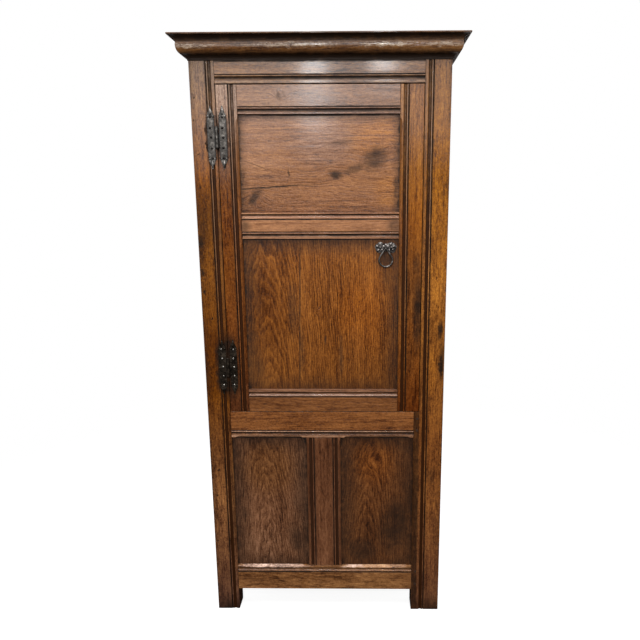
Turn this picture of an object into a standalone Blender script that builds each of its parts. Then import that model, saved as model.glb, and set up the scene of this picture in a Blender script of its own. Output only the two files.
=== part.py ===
"""A tall joined-oak food cupboard: a moulded cornice, one panelled door and two fixed lower panels.

Metres, +Z up. The front faces -Y, the door hangs on H hinges at the left (-X), and the feet stand on z = 0.
The origin is on the floor, under the middle of the whole outline.
"""

import math

import bmesh
import bpy
from mathutils import Matrix, Vector

# Whole cupboard
HEIGHT = 1.850
BODY_WIDTH = 0.760
BODY_DEPTH = 0.420
FIT = 0.0003

# Upright stiles, whose lower ends are the feet
STILE_DEPTH = 0.056
HINGE_STILE_WIDTH = 0.073
LOCK_STILE_WIDTH = 0.0765
LOCK_STILE_STEP = 0.017
FOOT_EASE = 0.005

# Front frame
RAIL_THICKNESS = 0.026
FOOT_HEIGHT = 0.079
BOTTOM_RAIL_HEIGHT = 0.090
LOWER_OPENING_HEIGHT = 0.464
MIDDLE_RAIL_HEIGHT = 0.089
FRIEZE_DROP = 0.1265
MUNTIN_WIDTH = 0.112
MUNTIN_SHIFT = 0.003

# Sides and back
SIDE_THICKNESS = 0.024
SIDE_TOP_RAIL_DROP = 0.155
BACK_RAIL_HEIGHT = 0.085
BACK_BOARD_THICKNESS = 0.012
BACK_BOARD_COUNT = 5
BACK_BOARD_LAP = 0.008
BACK_BOARD_GAP = 0.0008
BACK_REBATE = 0.014

# Run moulding: flat fillet at the edge, hollow channel, bead, quirk
FILLET = 0.0095
NARROW_FILLET = 0.005
CHANNEL = 0.009
BEAD = 0.005
QUIRK = 0.002
MOULDING_DEPTH = 0.0026
HOLLOW = 0.0014

# Panels in grooves
PANEL_SETBACK = 0.009
PANEL_THICKNESS = 0.011
TONGUE_THICKNESS = 0.006
TONGUE_LENGTH = 0.008
GROOVE_DEPTH = 0.009
PANEL_FEATHER = 0.030

# Mortise and tenon joints
TENON_SETBACK = 0.010
TENON_THICKNESS = 0.007
TENON_LENGTH = 0.032
TENON_SHOULDER = 0.012
MORTISE_ROOM = 0.001

# Stopped chamfers round the panels
CHAMFER = 0.007
CHAMFER_STOP = 0.012
CHAMFER_RUN = 0.024

# Door
DOOR_THICKNESS = 0.024
DOOR_GAP = 0.002
DOOR_HEAD_GAP = 0.003
DOOR_HINGE_STILE_WIDTH = 0.0605
DOOR_LOCK_STILE_WIDTH = 0.069
DOOR_TOP_RAIL_HEIGHT = 0.0815
DOOR_MIDDLE_RAIL_HEIGHT = 0.078
DOOR_BOTTOM_RAIL_HEIGHT = 0.073
DOOR_UPPER_OPENING_HEIGHT = 0.284
DOOR_STOP_SIZE = 0.012
DOOR_STOP_END = 0.030

# Inside fittings
SHELF_THICKNESS = 0.018
SHELF_SETBACK = 0.016
SHELF_SPACING = 0.340
LOWER_SHELF_LEVEL = 1.050
BEARER_THICKNESS = 0.020
BEARER_HEIGHT = 0.026
BOTTOM_BOARD_THICKNESS = 0.015
BOTTOM_BOARD_LEVEL = 0.162
BOARD_ROOM = 0.001
TOP_BOARD_THICKNESS = 0.016

# Cornice
CORNICE_HEIGHT = 0.0645
CORNICE_OUT = 0.046
CORNICE_FOOT = 0.002
CORNICE_COVE = 0.0125
CORNICE_SWELL_RISE = 0.0235
CORNICE_SWELL_OUT = 0.013
CORNICE_BAND = 0.0085
CORNICE_TOP_FILLET = 0.004
CORNICE_TOP_LIP = 0.002

# H hinges
HINGE_INSET = 0.148
LEAF_WIDTH = 0.022
LEAF_HEIGHT = 0.107
LEAF_THICKNESS = 0.0025
FINIAL_LENGTH = 0.036
FINIAL_NECK = 0.003
FINIAL_EAR = 0.007
FINIAL_FLARE = 0.0008
FINIAL_TIP = 0.0012
FINIAL_HOLLOW = 1.3
FINIAL_STEPS = 5
BARREL_RADIUS = 0.0055
BARREL_LENGTH = 0.058
BARREL_CLEARANCE = 0.001
PIN_RADIUS = 0.0028
PIN_HEAD_RADIUS = 0.0045
PIN_HEAD_HEIGHT = 0.003

# Pear-drop handle
HANDLE_FROM_STILE = 0.040
HANDLE_BELOW_RAIL = 0.031
PLATE_THICKNESS = 0.003
PLATE_LOBE_RADIUS = 0.0163
PLATE_LOBE_SPREAD = 0.0165
PLATE_PETALS = 5
PLATE_SCALLOP = 0.0012
PLATE_BRIDGE_RADIUS = 0.012
PLATE_SINK = 0.0005
PLATE_RISE = 0.0035
EYE_WIRE = 0.0018
EYE_RADIUS = 0.0047
SHANK_RADIUS = 0.0022
CLENCH_LENGTH = 0.014
DROP_WIRE = 0.0026
DROP_APEX_RADIUS = 0.0047
DROP_BOW_RADIUS = 0.0205
DROP_LENGTH = 0.0545
DROP_APEX_SLIMMING = 0.85
DROP_BOW_SWELLING = 1.15

# Faces and edges that the pieces share
BODY_LEFT = -BODY_WIDTH / 2
BODY_RIGHT = BODY_WIDTH / 2
FRONT = CORNICE_OUT - (BODY_DEPTH + CORNICE_OUT) / 2
BACK = FRONT + BODY_DEPTH
STILE_TOP = HEIGHT - TOP_BOARD_THICKNESS - FIT
HINGE_JAMB = BODY_LEFT + HINGE_STILE_WIDTH
LOCK_JAMB = BODY_RIGHT - LOCK_STILE_WIDTH
LOWER_JAMB = LOCK_JAMB - LOCK_STILE_STEP
BOTTOM_RAIL_TOP = FOOT_HEIGHT + BOTTOM_RAIL_HEIGHT
MIDDLE_RAIL_BASE = BOTTOM_RAIL_TOP + LOWER_OPENING_HEIGHT
MIDDLE_RAIL_TOP = MIDDLE_RAIL_BASE + MIDDLE_RAIL_HEIGHT
FRIEZE_BASE = HEIGHT - FRIEZE_DROP
SIDE_TOP_RAIL_BASE = HEIGHT - SIDE_TOP_RAIL_DROP
MUNTIN_CENTRE = (HINGE_JAMB + LOWER_JAMB) / 2 + MUNTIN_SHIFT
MUNTIN_LEFT = MUNTIN_CENTRE - MUNTIN_WIDTH / 2
MUNTIN_RIGHT = MUNTIN_CENTRE + MUNTIN_WIDTH / 2

DOOR_LEFT = HINGE_JAMB + DOOR_GAP
DOOR_RIGHT = LOCK_JAMB - DOOR_GAP
DOOR_BASE = MIDDLE_RAIL_TOP + DOOR_GAP
DOOR_TOP = FRIEZE_BASE - DOOR_HEAD_GAP
DOOR_INNER_LEFT = DOOR_LEFT + DOOR_HINGE_STILE_WIDTH
DOOR_INNER_RIGHT = DOOR_RIGHT - DOOR_LOCK_STILE_WIDTH
DOOR_TOP_RAIL_BASE = DOOR_TOP - DOOR_TOP_RAIL_HEIGHT
DOOR_MIDDLE_RAIL_TOP = DOOR_TOP_RAIL_BASE - DOOR_UPPER_OPENING_HEIGHT
DOOR_MIDDLE_RAIL_BASE = DOOR_MIDDLE_RAIL_TOP - DOOR_MIDDLE_RAIL_HEIGHT
DOOR_BOTTOM_RAIL_TOP = DOOR_BASE + DOOR_BOTTOM_RAIL_HEIGHT

PIN_X = (HINGE_JAMB + DOOR_LEFT) / 2
PIN_Y = FRONT - FIT - BARREL_RADIUS
HANDLE_X = DOOR_INNER_RIGHT - HANDLE_FROM_STILE
HANDLE_Z = DOOR_MIDDLE_RAIL_BASE - HANDLE_BELOW_RAIL
PANEL_FACE = FRONT + PANEL_SETBACK
HANDLE_Y = PANEL_FACE - FIT - PLATE_THICKNESS - FIT - EYE_RADIUS - EYE_WIRE
DROP_PIVOT_Z = HANDLE_Z - (EYE_RADIUS - EYE_WIRE - FIT - DROP_WIRE * DROP_APEX_SLIMMING)

ROUND_STEPS = 24
WIRE_STEPS = 12

# Each frame is drawn flat, as width across, depth behind its face, height up, and then stood in its place.
FRONT_PLACE = Matrix.Translation((0, FRONT, 0))
LEFT_PLACE = Matrix.Translation((BODY_LEFT, 0, 0)) @ Matrix.Rotation(-math.pi / 2, 4, "Z")
RIGHT_PLACE = Matrix.Translation((BODY_RIGHT, 0, 0)) @ Matrix.Rotation(math.pi / 2, 4, "Z")
WORLD_PLACE = Matrix.Identity(4)

# An outline drawn on the page, turned so that the page lies in plan, is a section of a rail, or faces front.
IN_PLAN = Matrix.Identity(3)
ACROSS_RAIL = Matrix(((0, 0, -1), (0, 1, 0), (1, 0, 0)))
FACING_FRONT = Matrix(((1, 0, 0), (0, 0, -1), (0, 1, 0)))

for old in list(bpy.data.objects):
    bpy.data.objects.remove(old, do_unlink=True)

parts = bpy.data.collections.new("food_cupboard")
tools = bpy.data.collections.new("cutters")
bpy.context.scene.collection.children.link(parts)
bpy.context.scene.collection.children.link(tools)


def make_material(name, colour, roughness, metallic):
    """Return a material with the finish's own colour and gloss."""
    material = bpy.data.materials.new(name)
    material.use_nodes = True
    shader = material.node_tree.nodes["Principled BSDF"]
    shader.inputs["Base Color"].default_value = (*colour, 1)
    shader.inputs["Roughness"].default_value = roughness
    shader.inputs["Metallic"].default_value = metallic
    return material


FRAME_OAK = make_material("frame_oak", (0.105, 0.042, 0.016), 0.38, 0.0)
CORNICE_OAK = make_material("cornice_oak", (0.075, 0.032, 0.014), 0.35, 0.0)
GOLDEN_PANEL = make_material("golden_panel", (0.150, 0.058, 0.018), 0.36, 0.0)
PALE_PANEL = make_material("pale_panel", (0.160, 0.078, 0.036), 0.36, 0.0)
BROWN_PANEL = make_material("brown_panel", (0.080, 0.033, 0.014), 0.40, 0.0)
INSIDE_OAK = make_material("inside_oak", (0.210, 0.125, 0.065), 0.65, 0.0)
WROUGHT_IRON = make_material("wrought_iron", (0.055, 0.050, 0.047), 0.45, 0.85)


# Shapes

def combine(pieces):
    """Put several closed shapes into one mesh, still as separate bodies."""
    joined = bmesh.new()
    holder = bpy.data.meshes.new("holder")
    for piece in pieces:
        piece.to_mesh(holder)
        joined.from_mesh(holder)
        piece.free()
    bpy.data.meshes.remove(holder)
    return joined


def box(low, high):
    """Return a box between two corners."""
    low = Vector(low)
    high = Vector(high)
    shape = bmesh.new()
    stretch = Matrix.Diagonal((*(high - low), 1))
    bmesh.ops.create_cube(shape, size=1, matrix=Matrix.Translation((low + high) / 2) @ stretch)
    return shape


def rod(centre, direction, length, radius, far_radius=None):
    """Return a closed cylinder or cone, centred on a point, along a direction."""
    shape = bmesh.new()
    turn = Vector(direction).to_track_quat("Z", "Y").to_matrix().to_4x4()
    bmesh.ops.create_cone(
        shape,
        cap_ends=True,
        segments=ROUND_STEPS,
        radius1=radius,
        radius2=radius if far_radius is None else far_radius,
        depth=length,
        matrix=Matrix.Translation(centre) @ turn,
    )
    return shape


def mesh_from_curve(curve):
    """Return a curve as a welded, outward-facing shape, and remove the curve."""
    holder = bpy.data.objects.new(curve.name, curve)
    bpy.context.scene.collection.objects.link(holder)
    evaluated = holder.evaluated_get(bpy.context.evaluated_depsgraph_get())
    mesh = bpy.data.meshes.new_from_object(evaluated)
    shape = bmesh.new()
    shape.from_mesh(mesh)
    bmesh.ops.remove_doubles(shape, verts=shape.verts, dist=1e-6)
    bmesh.ops.recalc_face_normals(shape, faces=shape.faces)
    bpy.data.objects.remove(holder)
    bpy.data.meshes.remove(mesh)
    bpy.data.curves.remove(curve)
    return shape


def prism(outline, start, end, page):
    """Return an outline extruded between two distances along its page's normal, each end one flat face."""
    curve = bpy.data.curves.new("outline", "CURVE")
    curve.dimensions = "2D"
    curve.fill_mode = "NONE"
    curve.extrude = (end - start) / 2
    spline = curve.splines.new("POLY")
    spline.points.add(len(outline) - 1)
    for point, (across, up) in zip(spline.points, outline):
        point.co = (across, up, 0, 1)
    spline.use_cyclic_u = True
    shape = mesh_from_curve(curve)
    rims = [edge for edge in shape.edges if edge.is_boundary]
    bmesh.ops.holes_fill(shape, edges=rims, sides=0)
    bmesh.ops.recalc_face_normals(shape, faces=shape.faces)
    middle = Matrix.Translation((0, 0, (start + end) / 2))
    shape.transform(page.to_4x4() @ middle)
    return shape


def arc(centre, radii, start, end, steps):
    """Return points along part of an ellipse, angles in degrees."""
    points = []
    for step in range(steps + 1):
        angle = math.radians(start + (end - start) * step / steps)
        points.append((centre[0] + radii[0] * math.cos(angle), centre[1] + radii[1] * math.sin(angle)))
    return points


# Objects

def stand(name, shape, collection, place):
    """Make a mesh object from a shape and stand it in its place."""
    mesh = bpy.data.meshes.new(name)
    shape.to_mesh(mesh)
    shape.free()
    thing = bpy.data.objects.new(name, mesh)
    collection.objects.link(thing)
    thing.matrix_world = place
    return thing


def part(name, shape, material, place=WORLD_PLACE, axis=None, smooth=False):
    """Make one piece of the cupboard, hung on an axis empty where it moves."""
    thing = stand(name, shape, parts, place)
    thing.data.materials.append(material)
    if smooth:
        thing.data.shade_smooth()
        thing.data.set_sharp_from_angle(angle=math.radians(35))
    if axis is not None:
        thing.parent = axis
        thing.matrix_parent_inverse = axis.matrix_world.inverted()
    return thing


def combine_with(thing, pieces, operation, place):
    """Cut, join or trim a piece with tool shapes drawn in the same place."""
    tool = stand(thing.name + "_" + operation.lower(), combine(pieces), tools, place)
    tool.hide_render = True
    tool.display_type = "WIRE"
    change = thing.modifiers.new(operation.lower(), "BOOLEAN")
    change.operation = operation
    change.solver = "EXACT"
    change.object = tool


def axis_empty(name, location, parent=None):
    """Make an empty that marks a joint's axis."""
    empty = bpy.data.objects.new(name, None)
    parts.objects.link(empty)
    empty.empty_display_size = 0.02
    empty.matrix_world = Matrix.Translation(location)
    bpy.context.view_layer.update()
    if parent is not None:
        empty.parent = parent
        empty.matrix_parent_inverse = parent.matrix_world.inverted()
        bpy.context.view_layer.update()
    return empty


# Joinery

def run_moulding(fillet):
    """Return the face moulding from the board's edge inwards, as distance in and depth."""
    channel_end = fillet + CHANNEL
    bead_end = channel_end + BEAD
    hollow = arc((fillet + CHANNEL / 2, MOULDING_DEPTH), (CHANNEL / 2, HOLLOW), 180, 0, 4)
    bead = arc((channel_end + BEAD / 2, MOULDING_DEPTH), (BEAD / 2, -MOULDING_DEPTH), 180, 0, 6)
    quirk = [(bead_end + QUIRK, MOULDING_DEPTH), (bead_end + QUIRK, 0)]
    return [(0, 0), (fillet, 0)] + hollow + bead[1:] + quirk


def board_section(width, thickness, low_fillet=None, high_fillet=None, low_groove=False, high_groove=False):
    """Return a board's section, its face at depth 0, moulded or grooved at either edge."""
    groove_front = PANEL_SETBACK - FIT
    groove_back = PANEL_SETBACK + TONGUE_THICKNESS + FIT
    section = [(0, 0)] if low_fillet is None else run_moulding(low_fillet)
    if high_fillet is None:
        section.append((width, 0))
    else:
        section += [(width - across, deep) for across, deep in reversed(run_moulding(high_fillet))]
    if high_groove:
        section += [(width, groove_front), (width - GROOVE_DEPTH, groove_front)]
        section += [(width - GROOVE_DEPTH, groove_back), (width, groove_back)]
    section += [(width, thickness), (0, thickness)]
    if low_groove:
        section += [(0, groove_back), (GROOVE_DEPTH, groove_back)]
        section += [(GROOVE_DEPTH, groove_front), (0, groove_front)]
    return section


def shifted(section, across, deep=0):
    """Return a section moved across its page."""
    return [(left + across, back + deep) for left, back in section]


def tenon(ends, edges, upright=False, clearance=0.0, front=TENON_SETBACK):
    """Return a bar right through a rail or an upright, which leaves a tenon at both of its ends."""
    reach = TENON_LENGTH + (MORTISE_ROOM if clearance else 0)
    inset = TENON_SHOULDER - clearance
    low = Vector((ends[0] - reach, front - clearance, edges[0] + inset))
    high = Vector((ends[1] + reach, front + TENON_THICKNESS + clearance, edges[1] - inset))
    return box(low.zyx, high.zyx) if upright else box(low, high)


def rail(name, ends, edges, thickness, place, fillets=(None, None), grooves=(False, False), axis=None):
    """Make a rail between two shoulders, with a tenon at each end."""
    section = board_section(edges[1] - edges[0], thickness, *fillets, *grooves)
    body = prism(shifted(section, edges[0]), -ends[1] + FIT, -ends[0] - FIT, ACROSS_RAIL)
    made = part(name, body, FRAME_OAK, place, axis)
    combine_with(made, [tenon(ends, edges)], "UNION", place)
    return made


def mortise(ends, edges):
    """Return the pockets that a rail's tenons need."""
    return tenon(ends, edges, clearance=FIT)


def panel_groove(edge, side, low, high):
    """Return the groove in an upright's edge, whose wood lies on the given side of it."""
    front = PANEL_SETBACK - FIT
    back = PANEL_SETBACK + TONGUE_THICKNESS + FIT
    inner = edge + side * GROOVE_DEPTH
    outer = edge - side * GROOVE_DEPTH
    return box((min(inner, outer), front, low - GROOVE_DEPTH), (max(inner, outer), back, high + GROOVE_DEPTH))


def panel(name, sides, heights, material, place, axis=None):
    """Make a panel with a flat face, feathered at the back to a tongue that sits in the grooves."""
    low = (sides[0] - TONGUE_LENGTH, PANEL_SETBACK, heights[0] - GROOVE_DEPTH + FIT)
    high = (sides[1] + TONGUE_LENGTH, PANEL_SETBACK + TONGUE_THICKNESS, heights[1] + TONGUE_LENGTH)
    shape = box(low, high)
    back = max(shape.faces, key=lambda face: face.calc_center_median().y)
    bmesh.ops.inset_region(shape, faces=[back], thickness=TONGUE_LENGTH + FIT, use_even_offset=True)
    bmesh.ops.inset_region(shape, faces=[back], thickness=PANEL_FEATHER, use_even_offset=True)
    bmesh.ops.translate(shape, verts=back.verts, vec=(0, PANEL_THICKNESS - TONGUE_THICKNESS, 0))
    return part(name, shape, material, place, axis)


def stopped_chamfer(start, end, opening):
    """Return the cutter for a chamfer with scooped stops, along an arris beside an opening."""
    start = Vector(start)
    end = Vector(end)
    along = (end - start).normalized()
    half = (end - start).length / 2 - CHAMFER_STOP
    inward = (Vector((0, 1, 0)) - Vector(opening)).normalized()
    depth = CHAMFER / math.sqrt(2)
    stop = arc((half - CHAMFER_RUN, 0), (CHAMFER_RUN, depth), 90, 0, 5)
    outline = stop + [(half, -CHAMFER), (-half, -CHAMFER)]
    outline += [(-across, deep) for across, deep in reversed(stop)]
    shape = prism(outline, -2 * CHAMFER, 2 * CHAMFER, IN_PLAN)
    turn = Matrix((along, inward, along.cross(inward))).transposed().to_4x4()
    shape.transform(Matrix.Translation((start + end) / 2) @ turn)
    return shape


RIGHTWARD = (1, 0, 0)
LEFTWARD = (-1, 0, 0)
UPWARD = (0, 0, 1)
DOWNWARD = (0, 0, -1)


def upright_chamfer(edge, opening, low, high):
    """Return the chamfer cutter for an upright's edge beside a panel."""
    return stopped_chamfer((edge, 0, low), (edge, 0, high), opening)


# Rail places, shared by the rails and by the mortises that take them
FRIEZE_ENDS = (HINGE_JAMB, LOCK_JAMB)
FRIEZE_EDGES = (FRIEZE_BASE, STILE_TOP)
LOWER_ENDS = (HINGE_JAMB, LOWER_JAMB)
MIDDLE_EDGES = (MIDDLE_RAIL_BASE, MIDDLE_RAIL_TOP)
BOTTOM_EDGES = (FOOT_HEIGHT, BOTTOM_RAIL_TOP)
SIDE_TOP_EDGES = (SIDE_TOP_RAIL_BASE, STILE_TOP)
# A left side is drawn with its front at the right, because it is seen from outside.
LEFT_SIDE_ENDS = (STILE_DEPTH - BACK, -FRONT - STILE_DEPTH)
RIGHT_SIDE_ENDS = (FRONT + STILE_DEPTH, BACK - STILE_DEPTH)
SIDE_FRAMES = (("left", LEFT_SIDE_ENDS, LEFT_PLACE), ("right", RIGHT_SIDE_ENDS, RIGHT_PLACE))
BACK_RAIL_FRONT = BODY_DEPTH - BACK_BOARD_THICKNESS - FIT - SIDE_THICKNESS
BACK_TENON_FRONT = BACK_RAIL_FRONT + (SIDE_THICKNESS - TENON_THICKNESS) / 2
BACK_ENDS = (HINGE_JAMB, LOCK_JAMB)
BACK_TOP_EDGES = (STILE_TOP - BACK_RAIL_HEIGHT, STILE_TOP)
BACK_BOTTOM_EDGES = (FOOT_HEIGHT, FOOT_HEIGHT + BACK_RAIL_HEIGHT)


def side_cuts(place, ends):
    """Return the mortises and panel grooves of one side frame, in world places."""
    cuts = [mortise(ends, edges) for edges in (SIDE_TOP_EDGES, MIDDLE_EDGES, BOTTOM_EDGES)]
    for low, high in ((BOTTOM_RAIL_TOP, MIDDLE_RAIL_BASE), (MIDDLE_RAIL_TOP, SIDE_TOP_RAIL_BASE)):
        cuts.append(panel_groove(ends[0], -1, low, high))
        cuts.append(panel_groove(ends[1], 1, low, high))
    for cut in cuts:
        cut.transform(place)
    return cuts


def foot_shape(left, right, front, back):
    """Return a tall block with rounded lower edges, which trims an upright to a worn foot."""
    margin = FOOT_EASE
    shape = box((left - margin, front - margin, 0), (right + margin, back + margin, HEIGHT))
    lower = [edge for edge in shape.edges if max(corner.co.z for corner in edge.verts) == 0]
    bmesh.ops.bevel(
        shape,
        geom=lower,
        offset=FOOT_EASE + margin,
        offset_type="OFFSET",
        segments=3,
        profile=0.5,
        affect="EDGES",
    )
    return shape


def make_front_stiles():
    """The front stiles carry the moulding beside the door and panels, and their ends are the feet.

    The right stile is wider below the door, where its fillet steps in to the lower panel.
    """
    lock_width = LOCK_STILE_WIDTH + LOCK_STILE_STEP
    left_section = board_section(HINGE_STILE_WIDTH, STILE_DEPTH, None, FILLET)
    right_section = board_section(lock_width, STILE_DEPTH, FILLET + LOCK_STILE_STEP)
    lower = (BOTTOM_RAIL_TOP, MIDDLE_RAIL_BASE)
    stiles = (
        ("left", left_section, BODY_LEFT, HINGE_JAMB, HINGE_JAMB, -1, RIGHTWARD, SIDE_FRAMES[0]),
        ("right", right_section, LOWER_JAMB, BODY_RIGHT, LOWER_JAMB, 1, LEFTWARD, SIDE_FRAMES[1]),
    )
    for side, section, left, right, edge, wood_side, opening, (_, ends, place) in stiles:
        body = prism(shifted(section, left, FRONT), 0, STILE_TOP, IN_PLAN)
        stile = part("front_stile_" + side, body, FRAME_OAK)
        cuts = [
            mortise(FRIEZE_ENDS, FRIEZE_EDGES),
            mortise(LOWER_ENDS, MIDDLE_EDGES),
            mortise(LOWER_ENDS, BOTTOM_EDGES),
            panel_groove(edge, wood_side, *lower),
            upright_chamfer(edge, opening, *lower),
        ]
        for cut in cuts:
            cut.transform(FRONT_PLACE)
        combine_with(stile, cuts + side_cuts(place, ends), "DIFFERENCE", WORLD_PLACE)
        foot = foot_shape(left, right, FRONT, FRONT + STILE_DEPTH)
        combine_with(stile, [foot], "INTERSECT", WORLD_PLACE)
    step_low = (LOWER_JAMB - FOOT_EASE, FRONT - FOOT_EASE, MIDDLE_RAIL_TOP)
    step_high = (LOCK_JAMB, FRONT + STILE_DEPTH + FOOT_EASE, HEIGHT)
    combine_with(stile, [box(step_low, step_high)], "DIFFERENCE", WORLD_PLACE)


def make_back_stiles():
    """The back stiles have a rebate for the back boards."""
    inside = BACK - STILE_DEPTH
    rebate = BACK - BACK_BOARD_THICKNESS - FIT
    stiles = (
        ("left", BODY_LEFT, HINGE_JAMB, HINGE_JAMB - BACK_REBATE, SIDE_FRAMES[0]),
        ("right", BODY_RIGHT, LOCK_JAMB, LOCK_JAMB + BACK_REBATE, SIDE_FRAMES[1]),
    )
    for side, outer, inner, rebate_edge, side_frame in stiles:
        outline = [(outer, inside), (inner, inside), (inner, rebate)]
        outline += [(rebate_edge, rebate), (rebate_edge, BACK), (outer, BACK)]
        stile = part("back_stile_" + side, prism(outline, 0, STILE_TOP, IN_PLAN), FRAME_OAK)
        cuts = []
        for edges in (BACK_TOP_EDGES, BACK_BOTTOM_EDGES):
            pocket = tenon(BACK_ENDS, edges, False, FIT, BACK_TENON_FRONT)
            pocket.transform(FRONT_PLACE)
            cuts.append(pocket)
        combine_with(stile, cuts + side_cuts(side_frame[2], side_frame[1]), "DIFFERENCE", WORLD_PLACE)
        foot = foot_shape(min(outer, inner), max(outer, inner), inside, BACK)
        combine_with(stile, [foot], "INTERSECT", WORLD_PLACE)


def make_front_rails():
    """Frieze, middle and bottom rail, with the muntin and its two fixed panels."""
    style = (RAIL_THICKNESS, FRONT_PLACE)
    rail("frieze_rail", FRIEZE_ENDS, FRIEZE_EDGES, *style, (FILLET, None))
    middle = rail("middle_rail", LOWER_ENDS, MIDDLE_EDGES, *style, (FILLET, None), (True, False))
    bottom = rail("bottom_rail", LOWER_ENDS, BOTTOM_EDGES, *style, (None, FILLET), (False, True))
    lower = (BOTTOM_RAIL_TOP, MIDDLE_RAIL_BASE)
    muntin_edges = (MUNTIN_LEFT, MUNTIN_RIGHT)
    bays = (("left", (HINGE_JAMB, MUNTIN_LEFT)), ("right", (MUNTIN_RIGHT, LOWER_JAMB)))
    middle_cuts = [tenon(lower, muntin_edges, True, FIT)]
    bottom_cuts = [tenon(lower, muntin_edges, True, FIT)]
    for _, (start, end) in bays:
        middle_cuts.append(stopped_chamfer((start, 0, lower[1]), (end, 0, lower[1]), DOWNWARD))
        bottom_cuts.append(stopped_chamfer((start, 0, lower[0]), (end, 0, lower[0]), UPWARD))
    combine_with(middle, middle_cuts, "DIFFERENCE", FRONT_PLACE)
    combine_with(bottom, bottom_cuts, "DIFFERENCE", FRONT_PLACE)
    section = board_section(MUNTIN_WIDTH, RAIL_THICKNESS, FILLET, FILLET, True, True)
    body = prism(shifted(section, MUNTIN_LEFT), lower[0] + FIT, lower[1] - FIT, IN_PLAN)
    muntin = part("muntin", body, FRAME_OAK, FRONT_PLACE)
    combine_with(muntin, [tenon(lower, muntin_edges, True)], "UNION", FRONT_PLACE)
    muntin_cuts = [
        upright_chamfer(MUNTIN_LEFT, LEFTWARD, *lower),
        upright_chamfer(MUNTIN_RIGHT, RIGHTWARD, *lower),
    ]
    combine_with(muntin, muntin_cuts, "DIFFERENCE", FRONT_PLACE)
    for side, bay in bays:
        panel("lower_panel_" + side, bay, lower, BROWN_PANEL, FRONT_PLACE)


def make_sides():
    """Each side is a frame of three rails between the stiles, with two panels."""
    for side, ends, place in SIDE_FRAMES:
        style = (SIDE_THICKNESS, place)
        rail("side_top_rail_" + side, ends, SIDE_TOP_EDGES, *style, (FILLET, None), (True, False))
        rail("side_middle_rail_" + side, ends, MIDDLE_EDGES, *style, (FILLET, FILLET), (True, True))
        rail("side_bottom_rail_" + side, ends, BOTTOM_EDGES, *style, (None, FILLET), (False, True))
        panel("side_upper_panel_" + side, ends, (MIDDLE_RAIL_TOP, SIDE_TOP_RAIL_BASE), BROWN_PANEL, place)
        panel("side_lower_panel_" + side, ends, (BOTTOM_RAIL_TOP, MIDDLE_RAIL_BASE), BROWN_PANEL, place)


def make_back():
    """Two plain rails, and upright boards lapped edge to edge in the stiles' rebates."""
    for name, edges in (("back_top_rail", BACK_TOP_EDGES), ("back_bottom_rail", BACK_BOTTOM_EDGES)):
        low = (BACK_ENDS[0] + FIT, BACK_RAIL_FRONT, edges[0])
        high = (BACK_ENDS[1] - FIT, BACK_RAIL_FRONT + SIDE_THICKNESS, edges[1])
        made = part(name, box(low, high), INSIDE_OAK, FRONT_PLACE)
        bar = tenon(BACK_ENDS, edges, front=BACK_TENON_FRONT)
        combine_with(made, [bar], "UNION", FRONT_PLACE)
    left = HINGE_JAMB - BACK_REBATE + FIT
    right = LOCK_JAMB + BACK_REBATE - FIT
    pitch = (right - left) / BACK_BOARD_COUNT
    inner_face = BACK - BACK_BOARD_THICKNESS
    middle = BACK - BACK_BOARD_THICKNESS / 2
    for number in range(BACK_BOARD_COUNT):
        start = left + number * pitch
        end = start + pitch
        lip = start + (BACK_BOARD_GAP if number > 0 else 0)
        tongue_start = lip + (BACK_BOARD_LAP if number > 0 else 0)
        tongue_end = end + (BACK_BOARD_LAP if number < BACK_BOARD_COUNT - 1 else 0)
        outline = [(lip, BACK), (end, BACK)]
        if tongue_end > end:
            outline += [(end, middle - FIT / 2), (tongue_end, middle - FIT / 2)]
        outline += [(tongue_end, inner_face), (tongue_start, inner_face)]
        if tongue_start > lip:
            outline += [(tongue_start, middle + FIT / 2), (lip, middle + FIT / 2)]
        shape = prism(outline, FOOT_HEIGHT, STILE_TOP, IN_PLAN)
        part("back_board_" + str(number + 1), shape, INSIDE_OAK)


def notched_board(name, depths, sides, front_jambs, level, thickness):
    """Make a board that fills the inside and is notched round the four stiles."""
    left, right = sides
    front_left, front_right = front_jambs
    behind_front = FRONT + STILE_DEPTH + BOARD_ROOM
    before_back = BACK - STILE_DEPTH - BOARD_ROOM
    outline = [
        (front_left + BOARD_ROOM, depths[0]),
        (front_right - BOARD_ROOM, depths[0]),
        (front_right - BOARD_ROOM, behind_front),
        (right, behind_front),
        (right, before_back),
        (LOCK_JAMB - BOARD_ROOM, before_back),
        (LOCK_JAMB - BOARD_ROOM, depths[1]),
        (HINGE_JAMB + BOARD_ROOM, depths[1]),
        (HINGE_JAMB + BOARD_ROOM, before_back),
        (left, before_back),
        (left, behind_front),
        (front_left + BOARD_ROOM, behind_front),
    ]
    part(name, prism(outline, level - thickness, level, IN_PLAN), INSIDE_OAK)


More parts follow.
